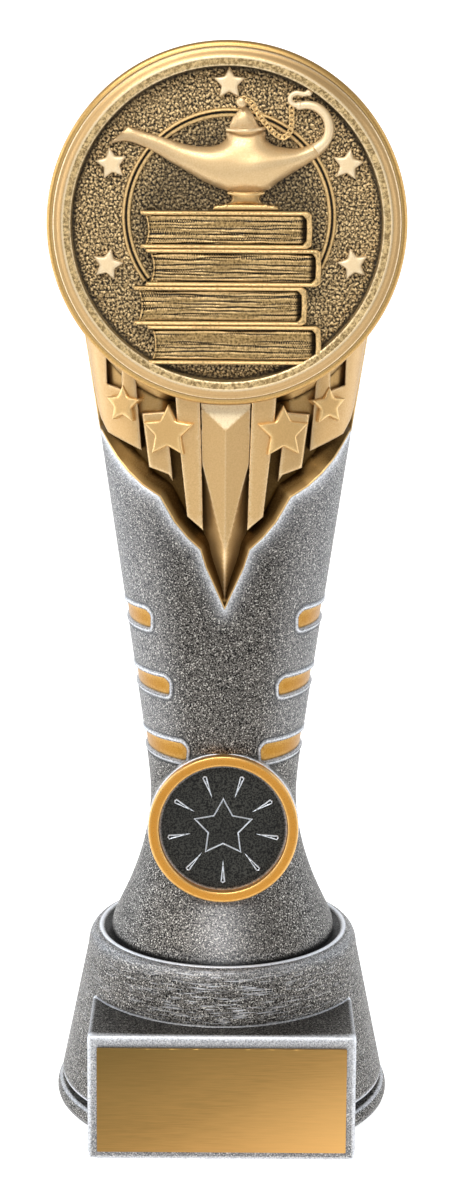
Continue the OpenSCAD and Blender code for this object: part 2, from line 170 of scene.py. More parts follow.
def solid(flat, faces, top, bottom, wall_steps=1):
    """A closed solid from a triangulated sheet and the places of its front and back."""
    n = len(flat)
    rim = outer_edges(faces)
    on_rim = np.unique(rim)
    index = {int(p): k for k, p in enumerate(on_rim)}
    shares = np.arange(1, wall_steps) / wall_steps
    points = [top, bottom] + [top[on_rim] * (1 - t) + bottom[on_rim] * t for t in shares]

    def ring(k, p):
        """The point below rim point p in ring k, where ring 0 is the front's and the last one the back's."""
        if k % wall_steps == 0:
            return p + (n if k else 0)
        return 2 * n + (k - 1) * len(on_rim) + index[p]

    walls = [(ring(k, a), ring(k + 1, a), ring(k + 1, b), ring(k, b))
             for a, b in rim.tolist() for k in range(wall_steps)]
    return np.concatenate(points), [*map(tuple, faces), *map(tuple, n + faces[:, ::-1]), *walls]


def plate(outline, place, profile, back, grid=0.8, holes=(), creases=(), rise=None, wall_steps=1,
          extra=()):
    """A relief: profile gives heights against distance from the edge; place maps (u, v, h)."""
    reach, heights = zip(*profile)
    flat, faces = triangles(outline, [outline, *holes] if len(holes) else (),
                            [r for r in reach if r > 0], grid, creases, extra)
    inside = inside_distance(flat, outline)
    for hole in holes:
        faces = faces[inside_distance(flat[faces].mean(1), hole) < 0]
        inside = np.minimum(inside, -inside_distance(flat, hole))
    h = np.interp(inside, reach, heights)
    if rise is not None:
        h = rise(flat, h, inside)
    return solid(flat, faces, place(flat[:, 0], flat[:, 1], h), back(flat[:, 0], flat[:, 1]), wall_steps)


def gathered(a, b, w, u):
    """The sum of u over the neighbours of each point, weighted by w; a and b are the edges' ends."""
    return np.bincount(a, w * u[b], len(u)) + np.bincount(b, w * u[a], len(u))


def swollen(flat, faces):
    """Height of a blown-up sheet over its outline: a strip becomes a half round."""
    a, b = np.unique(np.sort(sides_of(faces), axis=1), axis=0).T
    w = 1 / np.maximum(((flat[a] - flat[b]) ** 2).sum(1), 1e-6)
    ones = np.ones(len(flat))
    total, count = gathered(a, b, w, ones), gathered(a, b, 1, ones)
    held = np.unique(outer_edges(faces))
    u = 0 * ones
    for _ in range(SWELL_ROUNDS):
        u = (gathered(a, b, w, u) + count / 4) / np.maximum(total, 1e-9)
        u[held] = 0
    return np.sqrt(2 * u)


def ring_faces(rows, sides, whole):
    """The faces between closed rings of points; whole joins the last to the first, else both are capped."""
    faces = []
    for i in range(rows if whole else rows - 1):
        here, there = i * sides, (i + 1) % rows * sides
        for k in range(sides):
            ahead = (k + 1) % sides
            faces.append((here + k, here + ahead, there + ahead, there + k))
    if not whole:
        faces += [tuple(range(sides - 1, -1, -1)), tuple((rows - 1) * sides + k for k in range(sides))]
    return faces


def turned(profile, segments=192, start=0.0, stop=TAU, step=0.6):
    """Turns a closed profile of (radius, height) about the Z axis."""
    radius, height = spread(profile, step).T
    whole = abs(stop - start - TAU) < 1e-6
    count = segments if whole else segments + 1
    angles = start + (stop - start) * np.arange(count) / segments
    points = np.stack([np.outer(np.cos(angles), radius), np.outer(np.sin(angles), radius),
                       np.tile(height, (count, 1))], -1)
    return points.reshape(-1, 3), ring_faces(count, len(radius), whole)


def tube(path, radius, sides=20, closed=False):
    """A round bar along a path of 3-D points; radius may change along it."""
    path = np.asarray(path, float)
    radius = np.broadcast_to(radius, len(path))
    if closed:
        run = np.roll(path, -1, axis=0) - np.roll(path, 1, axis=0)
    else:
        run = np.gradient(path, axis=0)
    run /= np.linalg.norm(run, axis=1, keepdims=True)
    points = []
    for p, d, r in zip(path, run, radius):
        side = np.cross(d, FRONTWARD)
        side /= max(np.linalg.norm(side), 1e-9)
        up = np.cross(side, d)
        points += [p + r * (math.cos(a) * side + math.sin(a) * up) for a in TAU * np.arange(sides) / sides]
    return np.array(points), ring_faces(len(path), sides, closed)


def ball(centre, radius, flat=1.0, sides=28):
    """A ball, flattened from front to back."""
    rings = sides // 2
    a, b = np.meshgrid(math.pi * np.arange(1, rings) / rings, TAU * np.arange(sides) / sides, indexing="ij")
    points = np.stack([np.sin(a) * np.cos(b), flat * np.sin(a) * np.sin(b), np.cos(a)], -1)
    return np.array(centre) + radius * points.reshape(-1, 3), ring_faces(rings - 1, sides, False)


def joined(*parts):
    points, faces, at = [], [], 0
    for p, f in parts:
        points.append(p)
        faces += [tuple(int(i) + at for i in face) for face in f]
        at += len(p)
    return np.concatenate(points), faces


def pebbles(p, cell, seed):
    """Distance to the nearest of scattered points, as a share of the cell."""
    table = np.random.default_rng(seed).random((256, 256, 2))
    base = np.floor(p / cell).astype(int)
    best = np.full(len(p), 9.0)
    for dx in (-1, 0, 1):
        for dy in (-1, 0, 1):
            c = base + (dx, dy)
            centre = c + table[c[:, 0] % 256, c[:, 1] % 256]
            best = np.minimum(best, np.linalg.norm(p / cell - centre, axis=1))
    return best


# ---- Wear and pieces ----

def vectors(mesh, name):
    """A vector of every vertex, such as co or normal."""
    values = np.empty(len(mesh.vertices) * 3)
    mesh.vertices.foreach_get(name, values)
    return values.reshape(-1, 3)


def store(mesh, name, values):
    """Keeps one number per vertex as a named attribute, for the materials."""
    mesh.attributes.new(name, "FLOAT", "POINT").data.foreach_set("value", values.astype(np.float32))


def wear(mesh, reach):
    """Stores how far each point stands proud of its surroundings, or lies in a hollow."""
    start = vectors(mesh, "co") / MM
    ends = np.empty(len(mesh.edges) * 2, dtype=np.int64)
    mesh.edges.foreach_get("vertices", ends)
    a, b = ends.reshape(-1, 2).T
    w = 1 / np.maximum(((start[a] - start[b]) ** 2).sum(1), 1e-4)
    total = gathered(a, b, w, np.ones(len(start)))
    rate = np.minimum(0.5, reach ** 2 / WEAR_ROUNDS * total / 4)
    p = start.copy()
    for _ in range(WEAR_ROUNDS):
        for axis in range(3):
            q = p[:, axis]
            p[:, axis] = q + rate * (gathered(a, b, w, q) / np.maximum(total, 1e-9) - q)
    proud = ((start - p) * vectors(mesh, "normal")).sum(1) / (0.35 * reach)
    store(mesh, "crest", np.clip(proud, 0, 1))
    store(mesh, "hollow", np.clip(-proud, 0, 1))


def placed(name, data):
    made = bpy.data.objects.new(name, data)
    bpy.context.scene.collection.objects.link(made)
    return made


def piece(name, shape, finish, sharp=38, reach=0.7, **painted):
    """One visible piece, from points in millimetres, for the CAD node with its name in small letters."""
    points, faces = shape
    material, slot = finish
    mesh = bpy.data.meshes.new(name)
    mesh.from_pydata((np.asarray(points) * MM).tolist(), [], [tuple(int(i) for i in f) for f in faces])
    work = bmesh.new()
    work.from_mesh(mesh)
    bmesh.ops.remove_doubles(work, verts=work.verts, dist=2e-6)
    bmesh.ops.dissolve_degenerate(work, edges=work.edges, dist=1e-7)
    bmesh.ops.recalc_face_normals(work, faces=work.faces)
    work.to_mesh(mesh)
    work.free()
    mesh.validate()
    mesh.shade_smooth()
    mesh.set_sharp_from_angle(angle=math.radians(sharp))
    wear(mesh, reach)
    for attribute, amount in painted.items():
        store(mesh, attribute, amount(*vectors(mesh, "co").T / MM))
    mesh.materials.append(material)
    made = placed(name, mesh)
    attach(made, "root")
    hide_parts(name.lower())


# ---- Materials ----

class Paint:
    """Builds one procedural material from small steps."""

    def __init__(self, name, metallic):
        self.material = bpy.data.materials.new(name)
        self.material.use_nodes = True
        self.tree = self.material.node_tree
        self.shader = self.tree.nodes["Principled BSDF"]
        self.link(metallic, self.shader, "Metallic")
        self.place = self.node("TexCoord", {}).outputs["Object"]

    def link(self, source, node, name):
        """Feeds a socket from another node's output, or sets it to a constant."""
        socket = node.inputs[name]
        if isinstance(source, bpy.types.NodeSocket):
            self.tree.links.new(source, socket)
        elif socket.type == "RGBA":
            socket.default_value = (*source, 1.0)
        else:
            socket.default_value = source

    def node(self, kind, inputs):
        node = self.tree.nodes.new("ShaderNode" + kind)
        for name, source in inputs.items():
            self.link(source, node, name)
        return node

    def noise(self, size_mm, detail=2.0, stretch=(1, 1, 1), seed=0.0, rough=0.5):
        place = self.node("Mapping", {"Vector": self.place, "Scale": stretch,
                                      "Location": (seed, seed * 0.7, seed * 1.3)}).outputs["Vector"]
        return self.node("TexNoise", {"Vector": place, "Scale": 1 / (size_mm * MM), "Detail": detail,
                                      "Roughness": rough}).outputs["Fac"]

    def level(self, source, low, high, out_low=0.0, out_high=1.0, smooth=False):
        node = self.node("MapRange", {"Value": source, "From Min": low, "From Max": high, "To Min": out_low,
                                      "To Max": out_high})
        node.interpolation_type = "SMOOTHSTEP" if smooth else "LINEAR"
        return node.outputs["Result"]

    def attribute(self, name):
        node = self.node("Attribute", {})
        node.attribute_name = name
        return node.outputs["Fac"]

    def math(self, how, a, b):
        node = self.node("Math", {0: a, 1: b})
        node.operation = how
        return node.outputs[0]

    def axes(self):
        return self.node("SeparateXYZ", {0: self.place}).outputs

    def mix(self, factor, a, b):
        return self.node("MixRGB", {"Fac": factor, "Color1": a, "Color2": b}).outputs["Color"]

    def painted(self, colour, attribute, grain, marks, amount, low, high, new):
        """The colour with new over it where the mesh attribute says, broken up by the grain.

        marks are the grain's range and its least and greatest effect; low and high are where new starts and
        where it reaches its full amount."""
        share = self.math("MULTIPLY", self.attribute(attribute), self.level(grain, *marks))
        return self.mix(self.level(share, low, high, 0.0, amount), colour, new)

    def bump(self, source, depth_mm):
        bump = self.node("Bump", {"Height": source, "Strength": 1.0, "Distance": depth_mm * MM})
        self.link(bump.outputs["Normal"], self.shader, "Normal")

    def finish(self, colour, roughness):
        self.link(colour, self.shader, "Base Color")
        self.link(roughness, self.shader, "Roughness")
        return self.material


def linear(code):
    """A colour written as in a paint chart, as the numbers that the shader wants."""
    parts = [int(code[i:i + 2], 16) / 255 for i in (0, 2, 4)]
    return tuple(c / 12.92 if c <= 0.04045 else ((c + 0.055) / 1.055) ** 2.4 for c in parts)


def aged_metal(name, slot, colours, rough, metallic, contrast, grain_depth, edge_amount=1.0, seed=0.0,
               grain_mm=0.3, even=0.35, wash_amount=1.0, scratches=0.0, specks=0.0):
    """A cast, plated finish and its slot: grained, dark in its hollows and rubbed bright on its edges.

    colours are the grain's dark one, the body's, the grain's light one, the wash in the hollows, also used for
    painted shade, and the bare edges, also used for painted highlights. The mesh attributes for wash and
    shade, for rubbing and highlights and for brushing add more wash and painted shade, more bare metal and
    painted highlights, or fine scratches."""
    dark, body, light, wash_and_shade_colour, edge = (linear(code) for code in colours.split())
    paint = Paint(name, metallic)
    grain = paint.noise(grain_mm, 3.0, seed=seed, rough=0.65)
    cloud = paint.noise(7.0, 3.0, seed=seed + 3)
    half = 0.5 * (1 - contrast) + 0.02
    colour = paint.mix(paint.level(grain, 0.5 - half, 0.5 + half), dark, light)
    colour = paint.mix(even, colour, body)
    colour = paint.mix(paint.level(cloud, 0.35, 0.65, 0.0, 0.25), colour, body)
    if scratches:
        lines = paint.noise(0.32, 2.0, stretch=(0.09, 0.09, 1.3), seed=seed + 5)
        colour = paint.painted(colour, "brush", lines, (0.54, 0.68), scratches, 0.0, 1.0, edge)
    if specks:
        bright = paint.noise(0.3, 1.0, seed=seed + 9)
        colour = paint.mix(paint.level(bright, 0.6, 0.67, 0.0, specks), colour, linear("D8D4CC"))
    colour = paint.painted(colour, "hollow", cloud, (0.3, 0.6, 0.75, 1.15), wash_amount, 0.04, 0.5, wash_and_shade_colour)
    colour = paint.painted(colour, "crest", grain, (0.35, 0.6, 0.7, 1.2), edge_amount, 0.12, 0.6, edge)
    # The next two layers carry painted shade in the wash colour and painted highlights in the edge colour,
    # along with real wash and rubbed metal
    colour = paint.painted(colour, "stain", grain, (0.3, 0.7, 0.9, 1.05), 0.95, 0.0, 1.0, wash_and_shade_colour)
    colour = paint.painted(colour, "rub", grain, (0.35, 0.65, 0.6, 1.25), 1.0, 0.0, 1.0, edge)
    paint.bump(grain, grain_depth)
    return paint.finish(colour, paint.level(grain, 0.35, 0.65, rough[1], rough[0])), slot


SILVER = dict(slot="antique_silver", colours="020203 2A2928 706C67 050506 DFE2E8", rough=(0.32, 0.62),
              metallic=0.72, contrast=1.0, grain_depth=0.1, grain_mm=0.31, even=0.02, specks=0.8)
silver = aged_metal("Antique silver", **SILVER)
base_silver = aged_metal("Antique silver base", **SILVER, scratches=0.75, seed=0.5)
gold = aged_metal("Antique gold", "antique_gold", "BE9A60 D6B078 E6C492 64430F FBE8C2",
                  (0.32, 0.5), 0.8, 0.45, 0.012, 0.4, 1.0)
# A darker copy of the gold for the burst's recess: painted shade along with its antique wash
shaded_gold = aged_metal("Shaded gold", "antique_gold", "B49054 CCA468 DEBA84 382405 F4D69C",
                         (0.36, 0.55), 0.95, 0.45, 0.012, 0.5, 1.5)
orange_gold = aged_metal("Bright gold", "bright_gold", "B47626 C88A34 DAA450 64400E FBD894",
                         (0.26, 0.4), 0.85, 0.4, 0.008, 0.5, 2.0)
slot_gold = aged_metal("Slot gold", "bright_gold", "8A5E1C A07024 B88A3A 4A2E0A EBCB8C",
                       (0.3, 0.44), 0.85, 0.6, 0.012, 0.3, 2.2)
band_gold = aged_metal("Band gold", "antique_gold", "9C7234 AE8240 C29856 5A3C10 F2D698",
                       (0.3, 0.44), 0.8, 0.4, 0.01, 0.5, 2.5)
rim_cream = aged_metal("Rim cream gold", "cream_gold", "AE8C58 BC9A68 CEAE80 6E4C1C FBEBC8",
                       (0.36, 0.5), 0.7, 0.35, 0.008, 0.6, 2.8)
cream = aged_metal("Cream gold", "cream_gold", "CAA872 D8B888 E6CCA0 7A521C FBEBC8",
                   (0.36, 0.52), 0.6, 0.35, 0.008, 0.3, 3.0)
pale_cream = aged_metal("Pale cream gold", "cream_gold", "E0C494 EAD0A4 F4E0BC 82581E FFF3D8",
                        (0.4, 0.55), 0.5, 0.3, 0.008, 0.3, 3.2)
star_gold = aged_metal("Star gold", "cream_gold", "C49E62 D6AE70 E6C088 6A4612 F0D8A2",
                       (0.32, 0.46), 0.75, 0.35, 0.01, 0.35, 3.5)
wiped = aged_metal("Wiped gold", "dark_bronze", "6A5636 B89A64 E2C692 2A1E10 FBE6BC",
                   (0.38, 0.55), 0.65, 0.85, 0.06, 0.7, 4.0, grain_mm=0.5, even=0.2)
bronze = aged_metal("Dark bronze", "dark_bronze", "120C05 5C4A2C CCAC78 0C0804 FBDCA4",
                    (0.36, 0.58), 0.55, 0.8, 0.08, 0.95, 5.0, grain_mm=0.34, even=0.05, wash_amount=0.95)
paper = aged_metal("Book gold", "antique_gold", "32260F 8A6E3E D8B67A 100B05 E6C48A",
                   (0.38, 0.6), 0.6, 0.75, 0.04, 1.0, 6.0, grain_mm=0.45)
pewter = aged_metal("Medallion silver", "medallion_silver", "010101 0A0A0A 44443F 030303 E6ECF4",
                    (0.42, 0.62), 0.6, 0.92, 0.05, 1.0, 7.0, grain_mm=0.32, even=0.2)


def brushed_brass():
    paint = Paint("Plate brass", 0.9)
    lines = paint.noise(0.16, 2.0, stretch=(0.03, 1, 1), seed=8.0)
    cloud = paint.noise(14.0, 1.0, stretch=(0.6, 1, 1), seed=9.0)
    colour = paint.mix(paint.level(lines, 0.35, 0.65), linear("866838"), linear("9A7642"))
    colour = paint.mix(paint.level(cloud, 0.3, 0.7, 0.0, 0.2), colour, linear("B08A50"))
    # A painted reflection: the plate turns dark olive towards its top left and bright gold towards its bottom
    # right
    axes = paint.axes()
    across = paint.math("SUBTRACT", axes["X"], paint.math("MULTIPLY", axes["Z"], 2.0))
    colour = paint.mix(paint.level(across, -0.08, 0.0, 0.75, 0.0, True), colour, linear("54441F"))
    colour = paint.mix(paint.level(across, -0.03, 0.03, 0.0, 0.75, True), colour, linear("D8A866"))
    paint.bump(lines, 0.006)
    return paint.finish(colour, paint.level(lines, 0.3, 0.7, 0.3, 0.42)), "plate_brass"


def plain_finish(name, dark, light, roughness, metallic, size_mm, depth, stretch=(1, 1, 1)):
    paint = Paint(name, metallic)
    grain = paint.noise(size_mm, 3.0, stretch=stretch, seed=len(name))
    paint.bump(grain, depth)
    return paint.finish(paint.mix(paint.level(grain, 0.35, 0.65), linear(dark), linear(light)),
                        paint.level(grain, 0.3, 0.7, roughness + 0.1, roughness - 0.1))


brass_plate = brushed_brass()
felt = plain_finish("Felt", "141414", "303032", 0.9, 0.0, 0.4, 0.2)
foam = plain_finish("Tape foam", "C8C6BE", "E6E4DE", 0.85, 0.0, 0.3, 0.05)
iron = plain_finish("Cast iron", "2B2A2B", "55545A", 0.65, 0.7, 0.9, 0.12)
zinc = plain_finish("Zinc steel", "A9ABB0", "D2D4D8", 0.35, 0.95, 0.5, 0.02, (1, 1, 0.3))
insert_brass = plain_finish("Insert brass", "A98440", "D9B468", 0.35, 0.95, 0.5, 0.02)

for node, material in (("base_weight", iron), ("felt_pad", felt), ("tie_bolt", zinc), ("bolt_washer", zinc),
                       ("threaded_insert", insert_brass), ("plate_tape", foam), ("medallion_pad", foam),
                       ("head_dowels", zinc)):
    for material_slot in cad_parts[node].material_slots:
        material_slot.material = material


# ---- Base ----

DISH_Z = 36.0
CONE_TOP, RIM_R = 28.4, 25.9
shoulder = [(RIM_R + (CONE_TOP - RIM_R) * math.cos(a), 33.2 + 4.0 * math.sin(a))
            for a in np.radians(np.arange(0, 81, 10))]
crest = [(0.1, 37.18), (0, 37.32), (-0.25, 37.42), (-0.5, 37.36), (-1.0, 36.95), (-1.9, 36.65), (-2.35, 36.5),
         (-2.4, DISH_Z)]
crest = [(RIM_R + out, z) for out, z in crest]
plinth_profile = [(25.8, 1.2), (31.3, 1.2), (31.3, 3.6), (33.1, 3.6), (33.1, 5.0), (33.7, 5.0), (34.05, 5.12),
                  (34.1, 5.5), *shoulder, *crest, (3.3, DISH_Z), (3.3, 27.0), (25.8, 27.0)]
BLOCK_Y, BLOCK_LEAN = -36, 1.4 / 26


def block_front(x, z, h):
    return np.stack([x, BLOCK_Y + z * BLOCK_LEAN - h, z], -1)


def block_back(x, z):
    return np.stack([x, -np.maximum(12.0, np.sqrt(np.maximum(0, 26.3 ** 2 - x ** 2))), z], -1)


block_outline = spread(soften([(-26.9, 0), (26.9, 0), (26.9, 26), (-26.9, 26)], 1.0, 6), 0.8)
block_form = [(0, -0.55), (0.12, -0.25), (0.3, -0.1), (0.6, 0), (0.95, 0), (1.4, 0)]
block = plate(block_outline, block_front, block_form, block_back, grid=1.6, wall_steps=14)
seam = turned([(29.4, 25.8), (30.2, 25.8), (30.12, 25.98), (29.9, 26.2), (29.4, 26.4)], 120,
              math.radians(208), math.radians(332), 0.3)


def plinth_stain(x, y, z):
    """Painted shade: the groove over the foot ring and the dish round the column are black, and the ledge
    where the block meets the cone is darker.
    """
    r = np.hypot(x, y)
    groove = (r < 33.8) & (z > 3.5) & (z < 5.05)
    dish = (r < RIM_R - 0.9) & (z > 35)
    ledge = (r > 29.35) & (y < -15) & (z > 25.5) & (z < 26.6)
    return np.where(groove | dish, 1.0, np.where(ledge & (y > -34.0), 0.45, 0.0))


def plinth_rub(x, y, z):
    """The rim round the column and the front edges of the block are worn bright and carry painted highlights;
    the front face of the block, lighter towards its top, and a soft band on the shoulder are painted
    highlights.
    """
    r = np.hypot(x, y)
    rim_gap = np.hypot(r - RIM_R + 0.2, z - 37.4)
    top_gap = np.hypot(y - BLOCK_Y - 25.8 * BLOCK_LEAN, z - 25.8)
    worn = 1.2 * np.maximum(np.exp(-(rim_gap / 0.55) ** 4), np.exp(-(top_gap / 0.5) ** 2))
    face = (np.abs(y - BLOCK_Y - z * BLOCK_LEAN) < 0.3) & (z < 25.9)
    band = 0.16 * np.exp(-((r - 27.3) / 0.7) ** 2) * (z > 33)
    return np.maximum(worn, np.where(face, 0.36 + 0.012 * (z - 13), band))


def plinth_brush(x, y, z):
    """Fine scratches run round the cone, most of all over the block."""
    r = np.hypot(x, y)
    on_cone = (np.abs(r - 34.1 + 5.7 * (z - 5.5) / 27.7) < 0.4) & (z > 6) | (z > 33)
    front = np.exp(-(x / 14) ** 2 - ((z - 31) / 6) ** 2) * (y < 0)
    return np.where(on_cone, 0.2 + 0.8 * front, 0)


piece("Plinth", joined(turned(plinth_profile), block, seam), base_silver, reach=0.5, stain=plinth_stain,
      rub=plinth_rub, brush=plinth_brush)

ring_stop = math.atan2(-22.6, 26.6)
foot_profile = [(31.4, 0), (33.9, 0), (34.6, 0.15), (35.0, 0.55), (35.2, 1.2), (35.2, 1.9), (35.0, 2.7),
                (34.7, 3.3), (34.3, 3.6), (31.4, 3.6)]
piece("Foot_ring", turned(foot_profile, 192, ring_stop, math.pi - ring_stop, 0.5), base_silver, reach=0.45)

lean = math.atan(BLOCK_LEAN)
PLATE_MID = np.array([0, BLOCK_Y + 12.9 * BLOCK_LEAN, 12.9])


block_frame = np.array([[1, 0, 0], [0, math.sin(lean), math.cos(lean)], [0, -math.cos(lean), -math.sin(lean)]])


def on_block(x, v, h):
    return PLATE_MID + np.stack([x, v, h + 0 * x], -1) @ block_frame


plate_outline = spread(soften([(-25, -10.9), (25, -10.9), (25, 10.9), (-25, 10.9)], 0.3), 1.2)
piece("Engraving_plate", plate(plate_outline, on_block, [(0, 0.82), (0.08, 0.9)],
                               lambda x, v: on_block(x, v, 0.3), grid=2.5), brass_plate, reach=0.3)


# ---- Column ----

# The radius that turns angles into lengths on the unrolled column
UNROLL = 22.0
COLUMN_TURN_Z, COLUMN_TOP = 168.0, 198.6


def smooth_step(t):
    t = np.clip(t, 0, 1)
    return t * t * (3 - 2 * t)


def swell(z):
    return smooth_step((z - 75) / 90)


def flank(z):
    z = np.minimum(z, COLUMN_TURN_Z)
    wide = 14.9 + 0.07 * (z - 69 + np.sqrt((z - 69) ** 2 + 36)) + 0.0095 * np.maximum(0, 69 - z) ** 2
    return np.where(z < 60, -0.5 * np.log(np.exp(-2 * wide) + math.exp(-2 * 23.5)), np.minimum(34.3, wide))


def crown(z, start):
    return np.sqrt(np.maximum(0.0, 1 - (np.maximum(0, z - start) / (COLUMN_TOP - start)) ** 2))


def section(z):
    """Half width, middle, half depth and squareness of the column at a height."""
    wide = flank(z) * crown(z, COLUMN_TURN_Z)
    front = -(flank(z) - 0.5 - 6.5 * swell(z)) - 1.1 * (1 - smooth_step((z - 36) / 9))
    front_low = -(flank(np.minimum(z, 110)) - 0.5 - 6.5 * swell(np.minimum(z, 110)))
    back = -9 + (9 - front_low) * crown(z, 140.0)
    return wide, (front + back) / 2, (back - front) / 2, 2 + 0.9 * swell(z)


def skin(t, z):
    wide, mid, deep, n = section(z)
    s, c = np.sin(t), np.cos(t)
    r = (np.abs(s / wide) ** n + np.abs(c / deep) ** n) ** (-1 / n)
    return np.stack([r * s, mid - r * c, z + 0 * t], -1)


def column_at(t, z, h):
    """The point h proud of the column at turn t, which is 0 at the front and grows to the right."""
    t, z, h = np.broadcast_arrays(np.asarray(t, float), np.asarray(z, float), np.asarray(h, float))
    step = 0.004
    along = skin(t + step, z) - skin(t - step, z)
    up = skin(t, z + 0.05) - skin(t, z - 0.05)
    out = np.cross(along, up)
    out /= np.linalg.norm(out, axis=-1, keepdims=True)
    return skin(t, z) + out * h[..., None]


def unrolled(u, z, h):
    """The same, with the turn given as a length on the unrolled column."""
    return column_at(u / UNROLL, z, h)


def turn_at(x, z):
    """The turn at which the front of the column is at x."""
    wide, _, deep, n = section(z)
    y = deep * np.maximum(0, 1 - np.minimum(1, np.abs(x) / wide) ** n) ** (1 / n)
    return np.arctan2(x, y)


HEAD_Z, HEAD_R = 185.3, 34.3
BURST_HALF = [(31, 147), (24.5, 143.6), (21.6, 139.3), (19.2, 136.6), (16.4, 134.2), (12.9, 132.1),
              (10.1, 127.2), (7.5, 124.1), (4.9, 121.7), (3.8, 118.1), (0, 109.5)]


def arc_under_head(x, r=33.7):
    return HEAD_Z - np.sqrt(np.maximum(0, r * r - x * x))


def burst_loop():
    """The edge of the burst, unrolled: it stops at the sides where the column turns to its back."""
    half = [(x, min(arc_under_head(x), 166.0)) for x in np.linspace(0, 31, 40)] + BURST_HALF
    half = spread(half, 0.5, closed=False)
    x, z = half.T
    wide, mid, deep, n = section(z)
    y_side = np.maximum(mid + 6, 0.1)
    x_side = wide * np.maximum(0, 1 - (y_side / deep) ** n) ** (1 / n)
    t = np.where(x < x_side, turn_at(np.minimum(x, x_side), z), np.arctan2(x_side, y_side))
    right = np.stack([UNROLL * t, z], -1)
    keep = [right[0]]
    for p in right[1:]:
        if np.linalg.norm(p - keep[-1]) > 0.2:
            keep.append(p)
    right = np.array(keep)
    right[-1] = (0, 109.5)
    left = right[::-1][1:-1] * (-1, 1)
    return np.concatenate([right, left])


burst_edge = burst_loop()
# Inner end, top and bottom of each slot, and the turn at which they all end
SLOTS = [(14.7, 108.3, 104.3), (10.9, 94.4, 90.6), (7.4, 80.8, 76.8)]
SLOT_TURN = 2.25
SIDES = ((-1, "left"), (1, "right"))


def slot_loop(side, inner, top, low):
    end = UNROLL * SLOT_TURN
    points = [(UNROLL * float(turn_at(inner + x, (top + low) / 2)), z)
              for x, z in ((0.9, top), (0, top - 1.0), (0.3, low + 0.3), (1.2, low))]
    return spread(soften(np.array([*points, (end, low + 0.9), (end, top + 0.1)]) * (side, 1), 0.6), 0.45)


slot_loops = [slot_loop(side, *band) for side, _ in SIDES for band in SLOTS]
SLOT_FORM = [(-1.5, 0), (-1.1, -0.13), (-0.75, 0.02), (-0.5, 0.15), (-0.12, 0.17), (0, 0.05), (0.2, -1.5)]
BURST_FORM = [(-1.5, 0), (-1.1, 0.04), (-0.5, 0.14), (-0.15, 0.18), (0, 0.06), (0.22, -3.4)]


def column_shape():
    side = UNROLL * math.pi
    outline = spread([(-side, DISH_Z), (side, DISH_Z), (side, COLUMN_TURN_Z), (-side, COLUMN_TURN_Z)], 1.15)
    feet = [[(u, z) for u in np.arange(-side + 0.6, side, 1.2)] for z in (36.2, 36.4, 36.7, 37.2)]
    rows = sorted({r for r, _ in SLOT_FORM + BURST_FORM if r})
    flat, faces = triangles(outline, [burst_edge, *slot_loops], rows, 1.15, extra=feet)
    h = np.zeros(len(flat))
    for loop, form in [(burst_edge, BURST_FORM)] + [(l, SLOT_FORM) for l in slot_loops]:
        reach, heights = zip(*form)
        h += np.interp(inside_distance(flat, loop), reach, heights)
    points = unrolled(*flat.T, h)
    faces = [tuple(f) for f in faces]
    order = np.argsort(flat[:, 0])
    low, top = ([i for i in order if abs(flat[i, 1] - z) < 1e-6] for z in (DISH_Z, COLUMN_TURN_Z))
    faces.append(tuple(low[:-1]))
    parts, ring = [points], top
    at = len(points)
    for z in COLUMN_TURN_Z + 30.3 * np.sin(np.radians(np.arange(6, 85, 6))):
        parts.append(unrolled(flat[top, 0], z, 0.0))
        new = list(range(at, at + len(top)))
        faces += [(ring[k], ring[k + 1], new[k + 1], new[k]) for k in range(len(top) - 1)]
        ring, at = new, at + len(top)
    faces.append(tuple(ring[:-1][::-1]))
    points = np.concatenate(parts)
    behind_head = np.hypot(points[:, 0], points[:, 2] - HEAD_Z) < 33.6
    points[:, 1] = np.where(behind_head, np.maximum(points[:, 1], -12.0), points[:, 1])
    return points, faces


SEAT = np.array([0.0, -17.0, 64.0])
seat_lean = math.radians(4)
seat_frame = np.array([[1, 0, 0], [0, math.sin(seat_lean), math.cos(seat_lean)],
                       [0, -math.cos(seat_lean), math.sin(seat_lean)]])


def seat_at(x, v, h):
    return SEAT + np.stack([x, v, h + 0 * x], -1) @ seat_frame


def on_seat(shape):
    return seat_at(*shape[0].T), shape[1]


boss = on_seat(turned([(0, -14), (14.7, -14), (15.1, -9), (15.3, -4), (15.4, -0.6), (15.3, -0.15), (15.1, 0),
                       (0, 0)], 160))


def column_rub(x, y, z):
    """The silver is rubbed bright along the burst and round the slots; the brightening a little on the flanks
    is a painted highlight and the streak down the front of the foot a painted reflection.
    """
    wide, mid = section(z)[:2]
    flat = np.stack([UNROLL * np.arctan2(x, mid - y), z], -1)
    glow = 0.9 * np.exp(-np.maximum(0, -inside_distance(flat, burst_edge)))
    glow += 0.2 * np.exp(-(x / 5.5) ** 2 - ((z - 44) / 8) ** 4)
    glow += 0.12 * smooth_step((np.abs(x) / wide - 0.35) / 0.4) * smooth_step((z - 70) / 15)
    glow = np.where(y < 2, glow, 0)
    for loop in slot_loops:
        glow = np.maximum(glow, 0.75 * np.exp(-((inside_distance(flat, loop) + 0.5) / 0.28) ** 2))
    return glow


def foot_shadow(x, y, z):
    """A black line where the column stands in its dish."""
    return np.clip((37.8 - z) / 0.3, 0, 1)


piece("Column", joined(column_shape(), boss), silver, reach=0.6, rub=column_rub, stain=foot_shadow)

for k, loop in enumerate(slot_loops):
    word = SIDES[k // len(SLOTS)][1]
    shape = plate(loop, unrolled, [(0, -0.6), (0.15, -0.45), (0.5, -0.38)], lambda u, z: unrolled(u, z, -1.45),
                  grid=0.9)
    piece(f"Slot_inlay_{word}_{k % len(SLOTS) + 1}", shape, slot_gold)


# ---- Medallion ----

